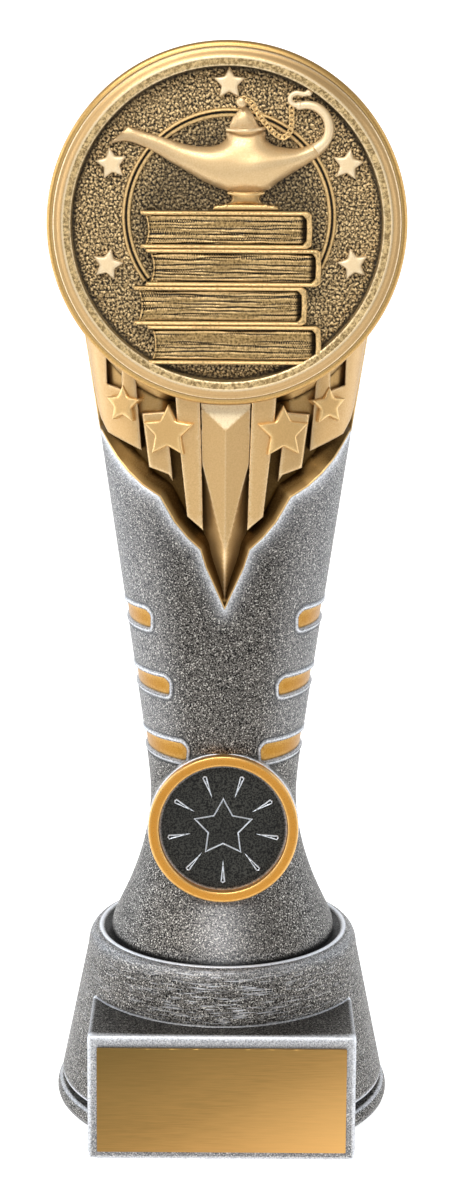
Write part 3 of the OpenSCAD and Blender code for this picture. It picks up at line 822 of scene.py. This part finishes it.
ring_form = [(13.05, 0), (15.2, 0), (15.2, 1.8), (15.12, 2.02), (14.95, 2.14), (14.7, 2.18), (13.6, 2.2),
             (13.3, 2.16), (13.12, 2.02), (13.05, 1.8)]
piece("Medallion_ring", on_seat(turned(ring_form, 192, step=0.3)), orange_gold, reach=0.4)


def disc_face(x, v):
    return seat_at(x, v, 0.5)


medal_parts = [on_seat(turned([(0, 0), (13.0, 0), (13.0, 0.5), (12.8, 0.6), (0, 0.6)], 160, step=0.5)),
               plate(spread(star(6.35, 0.53), 0.4), seat_at, [(0, 0.6), (0.1, 0.86), (0.22, 0.95)], disc_face,
                     grid=0.3, holes=[spread(star(5.72, 0.53), 0.4)])]
for angle in range(30, 351, 40):
    a = math.radians(angle)
    run, across = np.array([math.cos(a), math.sin(a)]), np.array([-math.sin(a), math.cos(a)])
    wedge = [run * 6.7, run * 11.2 - across * 0.52, run * 11.5, run * 11.2 + across * 0.52]
    medal_parts.append(plate(spread(wedge, 0.3), seat_at, [(0, 0.62), (0.12, 0.85), (0.25, 0.8), (0.4, 0.6)],
                             disc_face, grid=0.3))
piece("Medallion_disc", joined(*medal_parts), pewter, reach=0.3)


# ---- Burst ----

BURST_DEPTH = 3.0


def front_of_column(x, z):
    return skin(turn_at(x, z), z)[..., 1]


def burst_stain(x, y, z):
    """The dark antique wash and painted shade on the bevel and the floor of the burst, below the surface of
    the column.
    """
    depth = y - front_of_column(x, z)
    return np.clip((depth - 0.02) / 0.2, 0, 1) * (1 - 0.65 * scoop(x, z))


def scoop(x, z):
    """How far a place lies in the shallow pockets above the burst's stars."""
    return smooth_step((np.abs(x) - 10.5) / 3) * smooth_step((z - 145.5) / 3.5)


def panel_rise(flat, h, inside):
    x = unrolled(*flat.T, 0.0)[:, 0]
    return h + 1.5 * scoop(x, flat[:, 1]) * smooth_step(-h / 2.5)


panel_form = [(0, -0.1), (0.1, 0.08), (0.24, 0.08), (0.4, -0.15), (1.3, -1.25), (2.1, -2.3), (2.6, -2.95),
              (3.2, -3.0)]
piece("Burst_panel", plate(burst_edge, unrolled, panel_form, lambda u, z: unrolled(u, z, -3.35), grid=1.0,
                           rise=panel_rise), shaded_gold, reach=0.45, stain=burst_stain)


# Each bar: its outline, the bottoms and tops of its inner and outer edge, how deep it lies, how closely it
# follows the column and the least of its painted shade
RAYS = {
    "inner": ([(5.3, 160), (4.7, 140), (4.35, 125.6), (7.5, 128.3), (9.5, 147), (10.3, 160)],
              [(4.35, 125.6), (5.3, 160)], [(7.5, 128.3), (10.3, 160)], 0.35, 0.2, 0.0),
    "middle": ([(11.6, 149.2), (10.3, 135.3), (11.2, 136.6), (15.0, 137.9), (16.1, 146.6), (16.4, 148.6)],
               [(10.3, 135.3), (11.6, 149.2)], [(15.0, 137.9), (16.4, 148.6)], 0.4, 0.2, 0.12),
    "outer": ([(18.2, 165), (16.5, 141.2), (23.3, 143.9), (24.8, 146.5), (25.5, 149), (26.9, 157), (28.0, 166),
               (23.5, 166), (23.3, 153.9), (20.4, 153.2), (20.2, 165)],
              [(16.5, 141.2), (18.2, 165)], [(23.3, 143.9), (28.0, 166)], 0.3, 0.8, 0.34),
}


def edge_at(z, edge):
    """Where a line of (x, z) points, lowest first, is at a height."""
    x, heights = zip(*edge)
    return np.interp(z, heights, x)


def ray_face(name, x, z):
    _, near, far, sink, follow, _ = RAYS[name]
    x0, x1 = edge_at(z, near), np.minimum(edge_at(z, far), section(z)[0] * 0.985)
    y0, y1 = front_of_column(x0, z), front_of_column(x1, z)
    chord = y0 + (y1 - y0) * (x - x0) / (x1 - x0)
    return chord + (front_of_column(x, z) - chord) * follow + sink


def ray_shape(name, side):
    line = np.array([(x, min(z, arc_under_head(x) + 0.2)) for x, z in spread(RAYS[name][0], 0.6)])
    apart = np.hypot(*np.diff(line, axis=0, prepend=line[:1] - 1).T) > 0.1

    def place(x, z, h):
        return np.stack([side * x, ray_face(name, x, z) - h, z], -1)

    def back(x, z):
        return np.stack([side * x, np.minimum(ray_face(name, x, z) + 3.4, -6.3), z], -1)

    return plate(line[apart], place, [(0, -0.35), (0.12, -0.14), (0.3, -0.03), (0.5, 0)], back, wall_steps=5)


for side, word in SIDES:
    for name, ray in RAYS.items():
        # Painted shade darkens each bar where its surface falls back from its face, and the outer bars all
        # over
        piece(f"Ray_{word}_{name}", ray_shape(name, side), gold, reach=0.5, stain=lambda x, y, z: np.clip(
            (y - ray_face(name, np.abs(x), z) - 0.35) / 0.8, ray[-1], 1))

SPIKE_TOP, FACET_LOW, CORNER_X = 150.1, 145.6, 4.95
spike_half = [(5.3, 153.2), (5.05, 150.1), (4.5, 133), (4.25, 125.4), (3.7, 120.5), (0, 110.4)]


def spike_width(z):
    return edge_at(z, spike_half[::-1]) + 1e-3


def facet_height(z):
    """How high a place is on the facet at the top of the spike: 0 at its foot, 1 at its top, at most 2."""
    return np.clip((z - FACET_LOW) / (SPIKE_TOP - FACET_LOW), 0, 2)


def shield(z):
    """Half the width of the raised front of the spike, as a share of the spike's width."""
    return np.clip((z - 121.5) / 18, 0.01, 0.96) ** 0.9


def spike_rise(flat, h, inside):
    x, z = np.abs(flat[:, 0]), flat[:, 1]
    s, lit = np.clip(x / spike_width(z), 0, 1), shield(z)
    g = np.where(s < lit, 1 - 0.38 * s, (1 - 0.38 * lit) * (1 - s) / np.maximum(1e-3, 1 - lit))
    g = np.minimum(g, 1 - 0.38 * facet_height(z))
    return -BURST_DEPTH + (BURST_DEPTH + 0.35 - 0.5 * np.clip((122 - z) / 12, 0, 1)) * g


# Painted shade: the sides of the spike beyond its raised front and its deeper parts are darker
def spike_stain(x, y, z):
    depth = y - front_of_column(0 * x, z)
    share = np.abs(x) / spike_width(z)
    beyond = np.clip((share - np.maximum(0.1, shield(z))) / 0.06, 0, 1) * (share < 1.2)
    return np.maximum(0.55 * beyond, 0.85 * np.clip((depth - 1.2) / 1.2, 0, 1))


def facet_rub(x, y, z):
    """A painted highlight: the facet at the top of the spike is painted bright."""
    return np.clip((facet_height(z) - np.abs(x) / CORNER_X) / 0.06, 0, 1)


def spike_place(x, z, h):
    return np.stack([x, front_of_column(0 * x, z) - h, z], -1)


spike_outline = spread(spike_half + [(-x, z) for x, z in spike_half[-2::-1]], 0.5)
creases = [[(0, 110.9), (0, FACET_LOW)]]
creases += [[(0.05 * side, FACET_LOW + 0.05), (CORNER_X * side, SPIKE_TOP - 0.05)] for side, _ in SIDES]
creases = [spread(line, 0.5, closed=False) for line in creases]
shield_z = np.linspace(122.0, 145.4, 52)
creases += [np.stack([side * shield(shield_z) * spike_width(shield_z), shield_z], -1) for side, _ in SIDES]
spike = plate(spike_outline, spike_place, [(0, 0), (0.3, 0)], lambda x, z: spike_place(x, z, -3.3), grid=0.5,
              creases=creases, rise=spike_rise)
piece("Burst_spike", spike, gold, sharp=14, reach=0.4, stain=spike_stain, rub=facet_rub)


def star_piece(name, r, middle, form, back_h, finish, turn=0.0, yaw=0.0, pitch=0.0, **painted):
    """A thick star with softened edges, standing on a surface that faces yaw degrees to the side."""
    outline = spread(soften(star(r, 0.5, turn), 0.3, 3), 0.3)
    spin = Matrix.Rotation(math.radians(yaw), 3, "Z") @ Matrix.Rotation(math.radians(pitch), 3, "X")
    spin = np.array(spin).T

    def place(x, v, h):
        return np.array(middle) + np.stack([x, -h + 0 * x, v], -1) @ spin

    piece(name, plate(outline, place, form, lambda x, v: place(x, v, back_h), grid=0.45, wall_steps=3), finish,
          reach=0.45, **painted)


def star_form(thick):
    return [(0, thick - 0.5), (0.12, thick - 0.22), (0.3, thick - 0.06), (0.55, thick)]


for side, word in SIDES:
    star_piece(f"Burst_star_{word}_big", 5.5, (side * 11.0, -17.6, 145.2), star_form(1.5), -1.2, star_gold,
               yaw=14 * side, pitch=-4)
    star_piece(f"Burst_star_{word}_small", 4.0, (side * 19.7, -15.4, 150.2), star_form(1.4), -1.2, star_gold,
               yaw=27 * side, pitch=-4)


# ---- Head ----

def forward(shape, x=0.0, z=HEAD_Z, y=-10.0):
    """Turns a shape made about Z to face the front."""
    across, up, out = shape[0].T
    return np.stack([across + x, y - out, up + z], -1), shape[1]


housing = [(0, 0), (32.7, 0), (33.9, 0.5), (HEAD_R, 1.6), (HEAD_R, 11.4), (34.22, 11.8), (34.0, 12.1),
           (33.6, 12.3), (33.2, 12.36), (33.1, 12.2), (33.1, 9.5), (0, 9.5)]
piece("Head_housing", forward(turned(housing, 256, step=1.0)), band_gold, reach=0.4)
rim = [(31.1, 9.5), (33.1, 9.5), (33.1, 12.5), (33.04, 12.85), (32.9, 13.05), (32.7, 13.12), (32.3, 13.3),
       (31.8, 13.65), (31.4, 13.86), (31.1, 13.9)]
piece("Head_rim", forward(turned(rim, 256, step=0.35)), rim_cream, reach=0.35)
liner = [(29.6, 9.5), (31.1, 9.5), (31.1, 13.82), (30.9, 13.76), (30.2, 13.78), (29.85, 13.72), (29.66, 13.6),
         (29.6, 13.35)]
piece("Rim_liner", forward(turned(liner, 256, step=0.3)), wiped, reach=0.3)

FIELD_Y, FIELD_BACK_Y, FIELD_R = -20.5, -19.5, 29.6
RING_X, RING_Z = 0.4, 186.8


def field_shape():
    """The pebbled ground: a round sheet with a short wall and a flat back."""
    outline = FIELD_R * np.array([(math.cos(a), math.sin(a)) for a in np.arange(0, TAU, TAU / 300)])
    flat, faces = triangles(outline, (), (), 0.27)
    coarse = 1 - np.clip(pebbles(flat * (1, 1.3), 0.9, 11), 0, 1)
    fine = 1 - pebbles(flat * (1.2, 1), 0.5, 12)
    h = (0.2 * coarse + 0.26 * fine - 0.25) * np.clip((FIELD_R - np.hypot(*flat.T)) / 0.6, 0, 1)
    top = np.stack([flat[:, 0], FIELD_Y - h, flat[:, 1] + HEAD_Z], -1)
    ahead = dict(outer_edges(faces).tolist())
    loop = [min(ahead)]
    while ahead[loop[-1]] != loop[0]:
        loop.append(ahead[loop[-1]])
    low = top[loop] * (1, 0, 1) + (0, FIELD_BACK_Y, 0)
    n, m = len(flat), len(loop)
    walls = [(loop[k], n + k, n + (k + 1) % m, loop[(k + 1) % m]) for k in range(m)]
    return np.concatenate([top, low]), [*map(tuple, faces), *walls, tuple(range(n, n + m))]


def field_stain(x, y, z):
    """Painted shade: the ground is darkest behind the lamp and the books, and along the wall of the liner."""
    inner = 0.6 * (1 - smooth_step((np.hypot(x - RING_X, z - RING_Z) - 14) / 7))
    border = 0.9 * smooth_step((np.hypot(x, z - HEAD_Z) - 28.4) / 0.9)
    return np.maximum(inner, border)


def low_wash_and_shade(amount, top, fade):
    """Wash and painted shade low on the sides of a relief: it ends at the height top and is whole at fade
    below it.
    """
    return lambda x, y, z: amount * np.clip((top - (FIELD_Y - y)) / fade, 0, 1)


low_stain = low_wash_and_shade(0.75, 1.35, 0.7)

piece("Relief_field", field_shape(), bronze, sharp=80, reach=0.3, stain=field_stain)

channel = [(18.75, 0), (18.75, 0.85), (18.9, 1.05), (19.2, 1.1), (19.35, 0.95), (19.45, 0.72), (19.7, 0.72),
           (19.8, 0.95), (19.95, 1.1), (20.2, 1.05), (20.35, 0.85), (20.35, 0)]
relief_ring = turned(channel, 200, math.radians(-28), math.radians(217), 0.2)
piece("Relief_ring", forward(relief_ring, RING_X, RING_Z, FIELD_Y), paper, reach=0.3)


def on_field(x, z, h):
    return np.stack([x, FIELD_Y - h + 0 * x, z], -1)


def field_back(x, z):
    return on_field(x, z, -0.3)


# Left, right, bottom and top of each book, then its cover, spine and the lines between its leaves
BOOKS = [(-16.5, 16.2, 181.0, 188.1), (-15.5, 18.0, 173.9, 181.0), (-17.8, 15.4, 166.5, 173.9),
         (-15.2, 18.2, 159.0, 166.5)]
COVER, SPINE, LEAF_LINES = 0.78, 1.15, 15


def book_shape(k):
    x0, x1, z0, z1 = BOOKS[k]
    draw = np.random.default_rng(40 + k)
    middle, half = (z0 + z1) / 2, (z1 - z0) / 2
    inner_x = x1 - SPINE
    outer = [(x0, z0 + 0.03), (x1 - 1.0, z0 + 0.03), (x1 - 0.15, z0 + 0.6), (x1, middle), (x1 - 0.2, z1 - 0.6),
             (x1 - 1.0, z1 - 0.03), (x0, z1 - 0.03)]
    inner = [(x0 + 0.25, z1 - COVER), (inner_x - 0.7, z1 - COVER), (inner_x, z1 - COVER - 0.8),
             (inner_x + 0.1, middle), (inner_x, z0 + COVER + 0.8), (inner_x - 0.7, z0 + COVER),
             (x0 + 0.25, z0 + COVER)]
    cover_line = spread(soften(outer + inner, 0.25, 3), 0.35)
    wobble = draw.uniform(-0.05, 0.05, 12)

    def uneven(flat, h, inside):
        return h + np.interp(flat[:, 0], np.linspace(x0, x1, 12), wobble)

    cover = plate(cover_line, on_field, [(0, 2.7), (0.1, 3.0), (0.22, 3.14), (0.36, 3.2)], field_back,
                  grid=0.35, rise=uneven, wall_steps=3)
    # The pages: a concave fore-edge at the left and long uneven lines between the leaves
    low, high = z0 + COVER - 0.15, z1 - COVER + 0.15
    fore = [(x0 + 0.55 + 0.95 * (1 - ((z - middle) / half) ** 2), z) for z in np.linspace(low, high, 14)]
    leaf_line = spread([*fore, (x1 - 0.5, high), (x1 - 0.5, low)], 0.4)
    grooves = np.sort(draw.uniform(low + 0.1, high - 0.1, LEAF_LINES))
    depth = draw.uniform(0.12, 0.42, LEAF_LINES)
    sway = draw.uniform(0, TAU, (LEAF_LINES, 2))
    xs, zs = np.arange(x0 + 0.6, x1 - 0.4, 0.45), np.arange(low + 0.1, high, 0.13)
    mesh_points = [(x + (0.2 if j % 2 else 0), z) for j, z in enumerate(zs) for x in xs]

    def leaves(flat, h, inside):
        x, z = flat.T
        for g, d, (p, q) in zip(grooves, depth, sway):
            line = g + 0.12 * np.sin(x * 0.22 + p) + 0.05 * np.sin(x * 0.9 + q)
            fade = 0.55 + 0.45 * np.sin(x * 0.35 + q * 2)
            h = h - d * fade * np.exp(-((z - line) / 0.1) ** 2)
        h = h - 0.5 * np.clip(1 - np.minimum(z - low, high - z) / 0.7, 0, 1) ** 2
        h = h - 0.7 * np.clip(1 - (inner_x - x) / 1.6, 0, 1) ** 2
        lip = np.clip(1 - np.abs(inside - 0.2) / 0.2, 0, 1) * (x < x0 + 2.2)
        return h + 0.3 * lip

    pages = plate(leaf_line, on_field, [(0, 2.2), (0.15, 2.5), (0.3, 2.55)], field_back, grid=3.0, rise=leaves,
                  extra=[mesh_points], wall_steps=2)
    return joined(cover, pages)


for k in range(len(BOOKS)):
    piece(f"Book_{k + 1}", book_shape(k), paper, reach=0.3, stain=low_wash_and_shade(1, 2.52, 0.22))

LAMP_TOP = [(-18.8, 203.7), (-16, 202.7), (-12.5, 201.8), (-8.9, 200.6), (-5.5, 200), (-2.1, 200.2),
            (-0.3, 201.4), (0.2, 202.8), (6.6, 203.1), (7.2, 201.4), (8.7, 200.3), (11.3, 199.8),
            (13.9, 199.9), (16.5, 200.9), (18.3, 201.2), (19.1, 200)]
LAMP_UNDER = [(19.1, 200), (17.3, 198.3), (14.7, 196.6), (12.2, 195.1), (9.6, 193.4), (7, 191.8),
              (0.6, 191.7), (-3.8, 193.2), (-7.2, 195.1), (-10.6, 197), (-13.8, 198.9), (-17.1, 200.4),
              (-19.7, 200.9), (-22.4, 200.3)]
lamp_line = spread(np.concatenate([curve_through(LAMP_TOP, 4)[:-1], curve_through(LAMP_UNDER, 4)]), 0.4)
BELLY = np.array([(0.5, 196.0), (4, 196.2), (7.0, 196.8), (12.2, 197.9), (15.6, 199.2), (18.5, 200.2)])


def blown(outline, grid, flatness, base, rise=None):
    """A swollen relief over an outline."""
    flat, faces = triangles(outline, (), [0.12, 0.3], grid)
    h = base + flatness * swollen(flat, faces)
    if rise is not None:
        h = rise(flat, h)
    return solid(flat, faces, on_field(*flat.T, h), field_back(*flat.T), 2)


def lamp_rise(flat, h):
    """A soft ridge along the belly of the lamp, which fades out at the left."""
    ridge = np.exp(-(line_distance(flat, BELLY) / 1.7) ** 2)
    return h + 0.55 * smooth_step((flat[:, 0] + 2) / 8) * smooth_step((h - 0.9) / 1.5) * ridge


piece("Lamp_body", blown(lamp_line, 0.45, 0.62, 0.9, lamp_rise), cream, sharp=50, reach=0.5,
      stain=low_wash_and_shade(0.6, 2.1, 1.3))

foot_line = spread([(0.3, 191.9), (0.15, 191.4), (0.7, 190.9), (0.95, 190.3), (0.6, 189.6), (-0.3, 189.2),
                    (7.4, 189.2), (6.5, 189.6), (6.1, 190.3), (6.4, 190.9), (7.0, 191.4), (6.8, 191.9)], 0.3)
slab_line = spread(soften([(-2.7, 188.15), (9.8, 188.15), (9.6, 188.9), (6.9, 189.3), (0.2, 189.3),
                           (-2.5, 188.9)], 0.2), 0.3)
waist_x, waist_z, waist_h = np.array([(0.2, 191.4, 1.4), (1.5, 191.25, 2.6), (3.55, 191.2, 3.0),
                                      (5.6, 191.25, 2.6), (6.9, 191.4, 1.4)]).T
foot_parts = [blown(foot_line, 0.4, 0.75, 0.9), blown(slab_line, 0.4, 0.8, 1.6),
              tube(on_field(waist_x, waist_z, waist_h), 0.28)]
piece("Lamp_foot", joined(*foot_parts), star_gold, sharp=50, reach=0.4, stain=low_wash_and_shade(0.7, 2.0, 1.2))

LID = [(0.3, 203.2), (0.5, 204.3), (1, 205.5), (1.9, 206.6), (2.4, 207.3), (3.3, 207.4), (4, 206.9),
       (4.9, 205.8), (5.6, 204.3), (6.4, 203.3)]
lid_line = spread(np.concatenate([curve_through(LID, 4), [(6.3, 202.9), (0.4, 202.7)]]), 0.3)
collar_x = np.linspace(-0.1, 6.9, 12)
collar_arc = np.sin((collar_x + 0.1) / 7 * math.pi)
collar = tube(on_field(collar_x, 203.15 - 0.25 * collar_arc + 0.04 * collar_x, 1.4 + 1.9 * collar_arc), 0.33)
knob = ball((2.6, FIELD_Y - 2.3, 208.25), 1.05, 0.8)
piece("Lamp_lid", joined(blown(lid_line, 0.35, 0.75, 0.9), collar, knob), cream, sharp=50, reach=0.4,
      stain=low_stain)

HANDLE = [(16.6, 199.6), (18.2, 200.9), (19.0, 202.4), (19.05, 204.2), (18.3, 206), (16.8, 207.3),
          (15.0, 207.8), (13.3, 207.6)]
CURL = [(13.4, 207.6), (12.3, 207.9), (11.7, 208.6), (11.9, 209.5), (12.9, 210.0), (14.2, 209.8),
        (15.0, 210.0)]


def bar(points, steps, height, places, radii):
    """A round bar along a smooth line on the field. radii are its radii at some of the line's points."""
    line = curve_through(points, steps)
    return tube(on_field(*line.T, height), np.interp(np.arange(len(line)), places, radii))


handle = bar(HANDLE, 6, 1.5, [0, 8, 30, 42], [1.1, 0.95, 0.85, 0.72])
curl = bar(CURL, 5, 1.9, [0, 30], [0.5, 0.42])
curl_ends = [ball((13.3, FIELD_Y - 1.6, 207.65), 0.8), ball((15.2, FIELD_Y - 1.9, 210.1), 0.68)]
piece("Lamp_handle", joined(handle, curl, *curl_ends), pale_cream, sharp=50, reach=0.4, stain=low_stain)

CHAIN = [(3.2, 208.9), (4.4, 208.2), (5.2, 207), (6.1, 205.6), (7.3, 204.2), (8.8, 202.6), (10.4, 201.8),
         (11.6, 202.6), (12, 204.2), (12, 206), (11.9, 207.8)]
LINK_PITCH, LINK_TILT = 0.82, 0.35


def chain_shape():
    line = curve_through(CHAIN, 12)
    run = np.concatenate([[0], np.cumsum(np.linalg.norm(np.diff(line, axis=0), axis=1))])

    def along_line(s):
        x, z = (np.interp(s, run, values) for values in line.T)
        return np.array([x, FIELD_Y - 2.1 - 1.1 * math.exp(-((x - 4.5) / 2.5) ** 2), z])

    links = []
    for k in range(int(run[-1] / LINK_PITCH) + 1):
        middle, ahead = along_line(k * LINK_PITCH), along_line(k * LINK_PITCH + 0.1)
        along = (ahead - middle) * (1, 0, 1)
        along /= max(np.linalg.norm(along), 1e-9)
        tilt = LINK_TILT if k % 2 else -LINK_TILT
        across = np.cross(along, FRONTWARD) * math.cos(tilt) + FRONTWARD * math.sin(tilt)
        loop = [middle + along * 0.56 * math.cos(a) + across * 0.43 * math.sin(a)
                for a in np.arange(0, TAU, TAU / 14)]
        links.append(tube(loop, 0.17, 8, closed=True))
    return joined(*links)


piece("Lamp_chain", chain_shape(), star_gold, sharp=60, reach=0.25)

FIELD_STARS = [(0.3, 211.7, 0), (-21.9, 196.7, -8), (22.8, 196.8, 8), (-22.7, 177.8, 12), (24.1, 178.1, -12)]
for k, (x, z, turn) in enumerate(FIELD_STARS):
    star_piece(f"Field_star_{k + 1}", 3.15, (x, FIELD_Y, z), star_form(1.7), -0.3, pale_cream, turn,
               stain=low_stain)


# ---- Stage, lights and camera ----

LIGHTS_AIM = (0, 0, 0.12)


def cyclorama():
    """A floor that sweeps up into a backdrop."""
    depth, width, bend = 0.8, 0.7, 0.35
    line = [(-1.0, 0), (depth - bend, 0)]
    line += [(depth - bend + bend * math.sin(a), bend - bend * math.cos(a))
             for a in np.radians(range(6, 91, 6))]
    line += [(depth, 0.8)]
    points = [(s * width, y, z) for y, z in line for s in (-1, 1)]
    faces = [(2 * k, 2 * k + 1, 2 * k + 3, 2 * k + 2) for k in range(len(line) - 1)]
    mesh = bpy.data.meshes.new("Floor")
    mesh.from_pydata(points, [], faces)
    mesh.shade_smooth()
    made = placed("Floor", mesh)
    paint = Paint("Floor white", 0.0)
    grain = paint.noise(40.0, 2.0)
    front = paint.axes()["Y"]
    colour = paint.mix(paint.level(grain, 0.3, 0.7), (0.86, 0.86, 0.86), (0.89, 0.89, 0.89))
    # Painted light: the floor glows, more behind the object than in front, and its front is painted darker as
    # a falloff of light
    colour = paint.mix(paint.level(front, -0.28, -0.1, 0.75, 0.0, True), colour, (0.3, 0.3, 0.3))
    made.data.materials.append(paint.finish(colour, 0.7))
    paint.link((1, 1, 1), paint.shader, "Emission Color")
    paint.link(paint.level(front, -0.26, -0.09, 0.05, 0.6, True), paint.shader, "Emission Strength")


def softbox(name, place, size, watts, colour=(1, 1, 1)):
    light = bpy.data.lights.new(name, "AREA")
    light.shape = "RECTANGLE"
    light.size, light.size_y = size
    light.energy = watts
    light.color = colour
    made = placed(name, light)
    made.location = place
    made.rotation_euler = (Vector(LIGHTS_AIM) - Vector(place)).to_track_quat("-Z", "Y").to_euler()


cyclorama()
softbox("Key", (-0.2, -0.7, 0.85), (0.7, 0.35), 8.5, (1.0, 0.98, 0.95))
softbox("Front", (0.0, -0.95, 0.16), (1.0, 0.3), 1.2)
softbox("Left_side", (-0.65, -0.15, 0.3), (0.3, 0.6), 2.05)
softbox("Right_side", (0.65, -0.15, 0.3), (0.3, 0.6), 1.4)
softbox("Left_edge", (-0.5, 0.25, 0.2), (0.2, 0.6), 1.6, (0.82, 0.9, 1.0))
softbox("Right_edge", (0.5, 0.25, 0.2), (0.2, 0.6), 1.1, (0.82, 0.9, 1.0))

world = bpy.data.worlds.new("Studio")
world.use_nodes = True
background = world.node_tree.nodes["Background"].inputs
background["Color"].default_value = (1, 1, 1, 1)
background["Strength"].default_value = 0.22
bpy.context.scene.world = world
bpy.context.scene.view_settings.view_transform = "Standard"

camera = bpy.data.cameras.new("Camera")
camera.sensor_fit = "VERTICAL"
camera.sensor_height = 36.0
camera.lens = 71.67
camera.shift_x = 0.0016
camera.shift_y = 0.0092
camera.clip_start = 0.02
eye = placed("Camera", camera)
eye.matrix_world = (Matrix.Translation((0, -0.480, 0.216)) @ Matrix.Rotation(math.radians(77), 4, "X")
                    @ Matrix.Rotation(math.radians(0.36), 4, "Z"))
bpy.context.scene.camera = eye
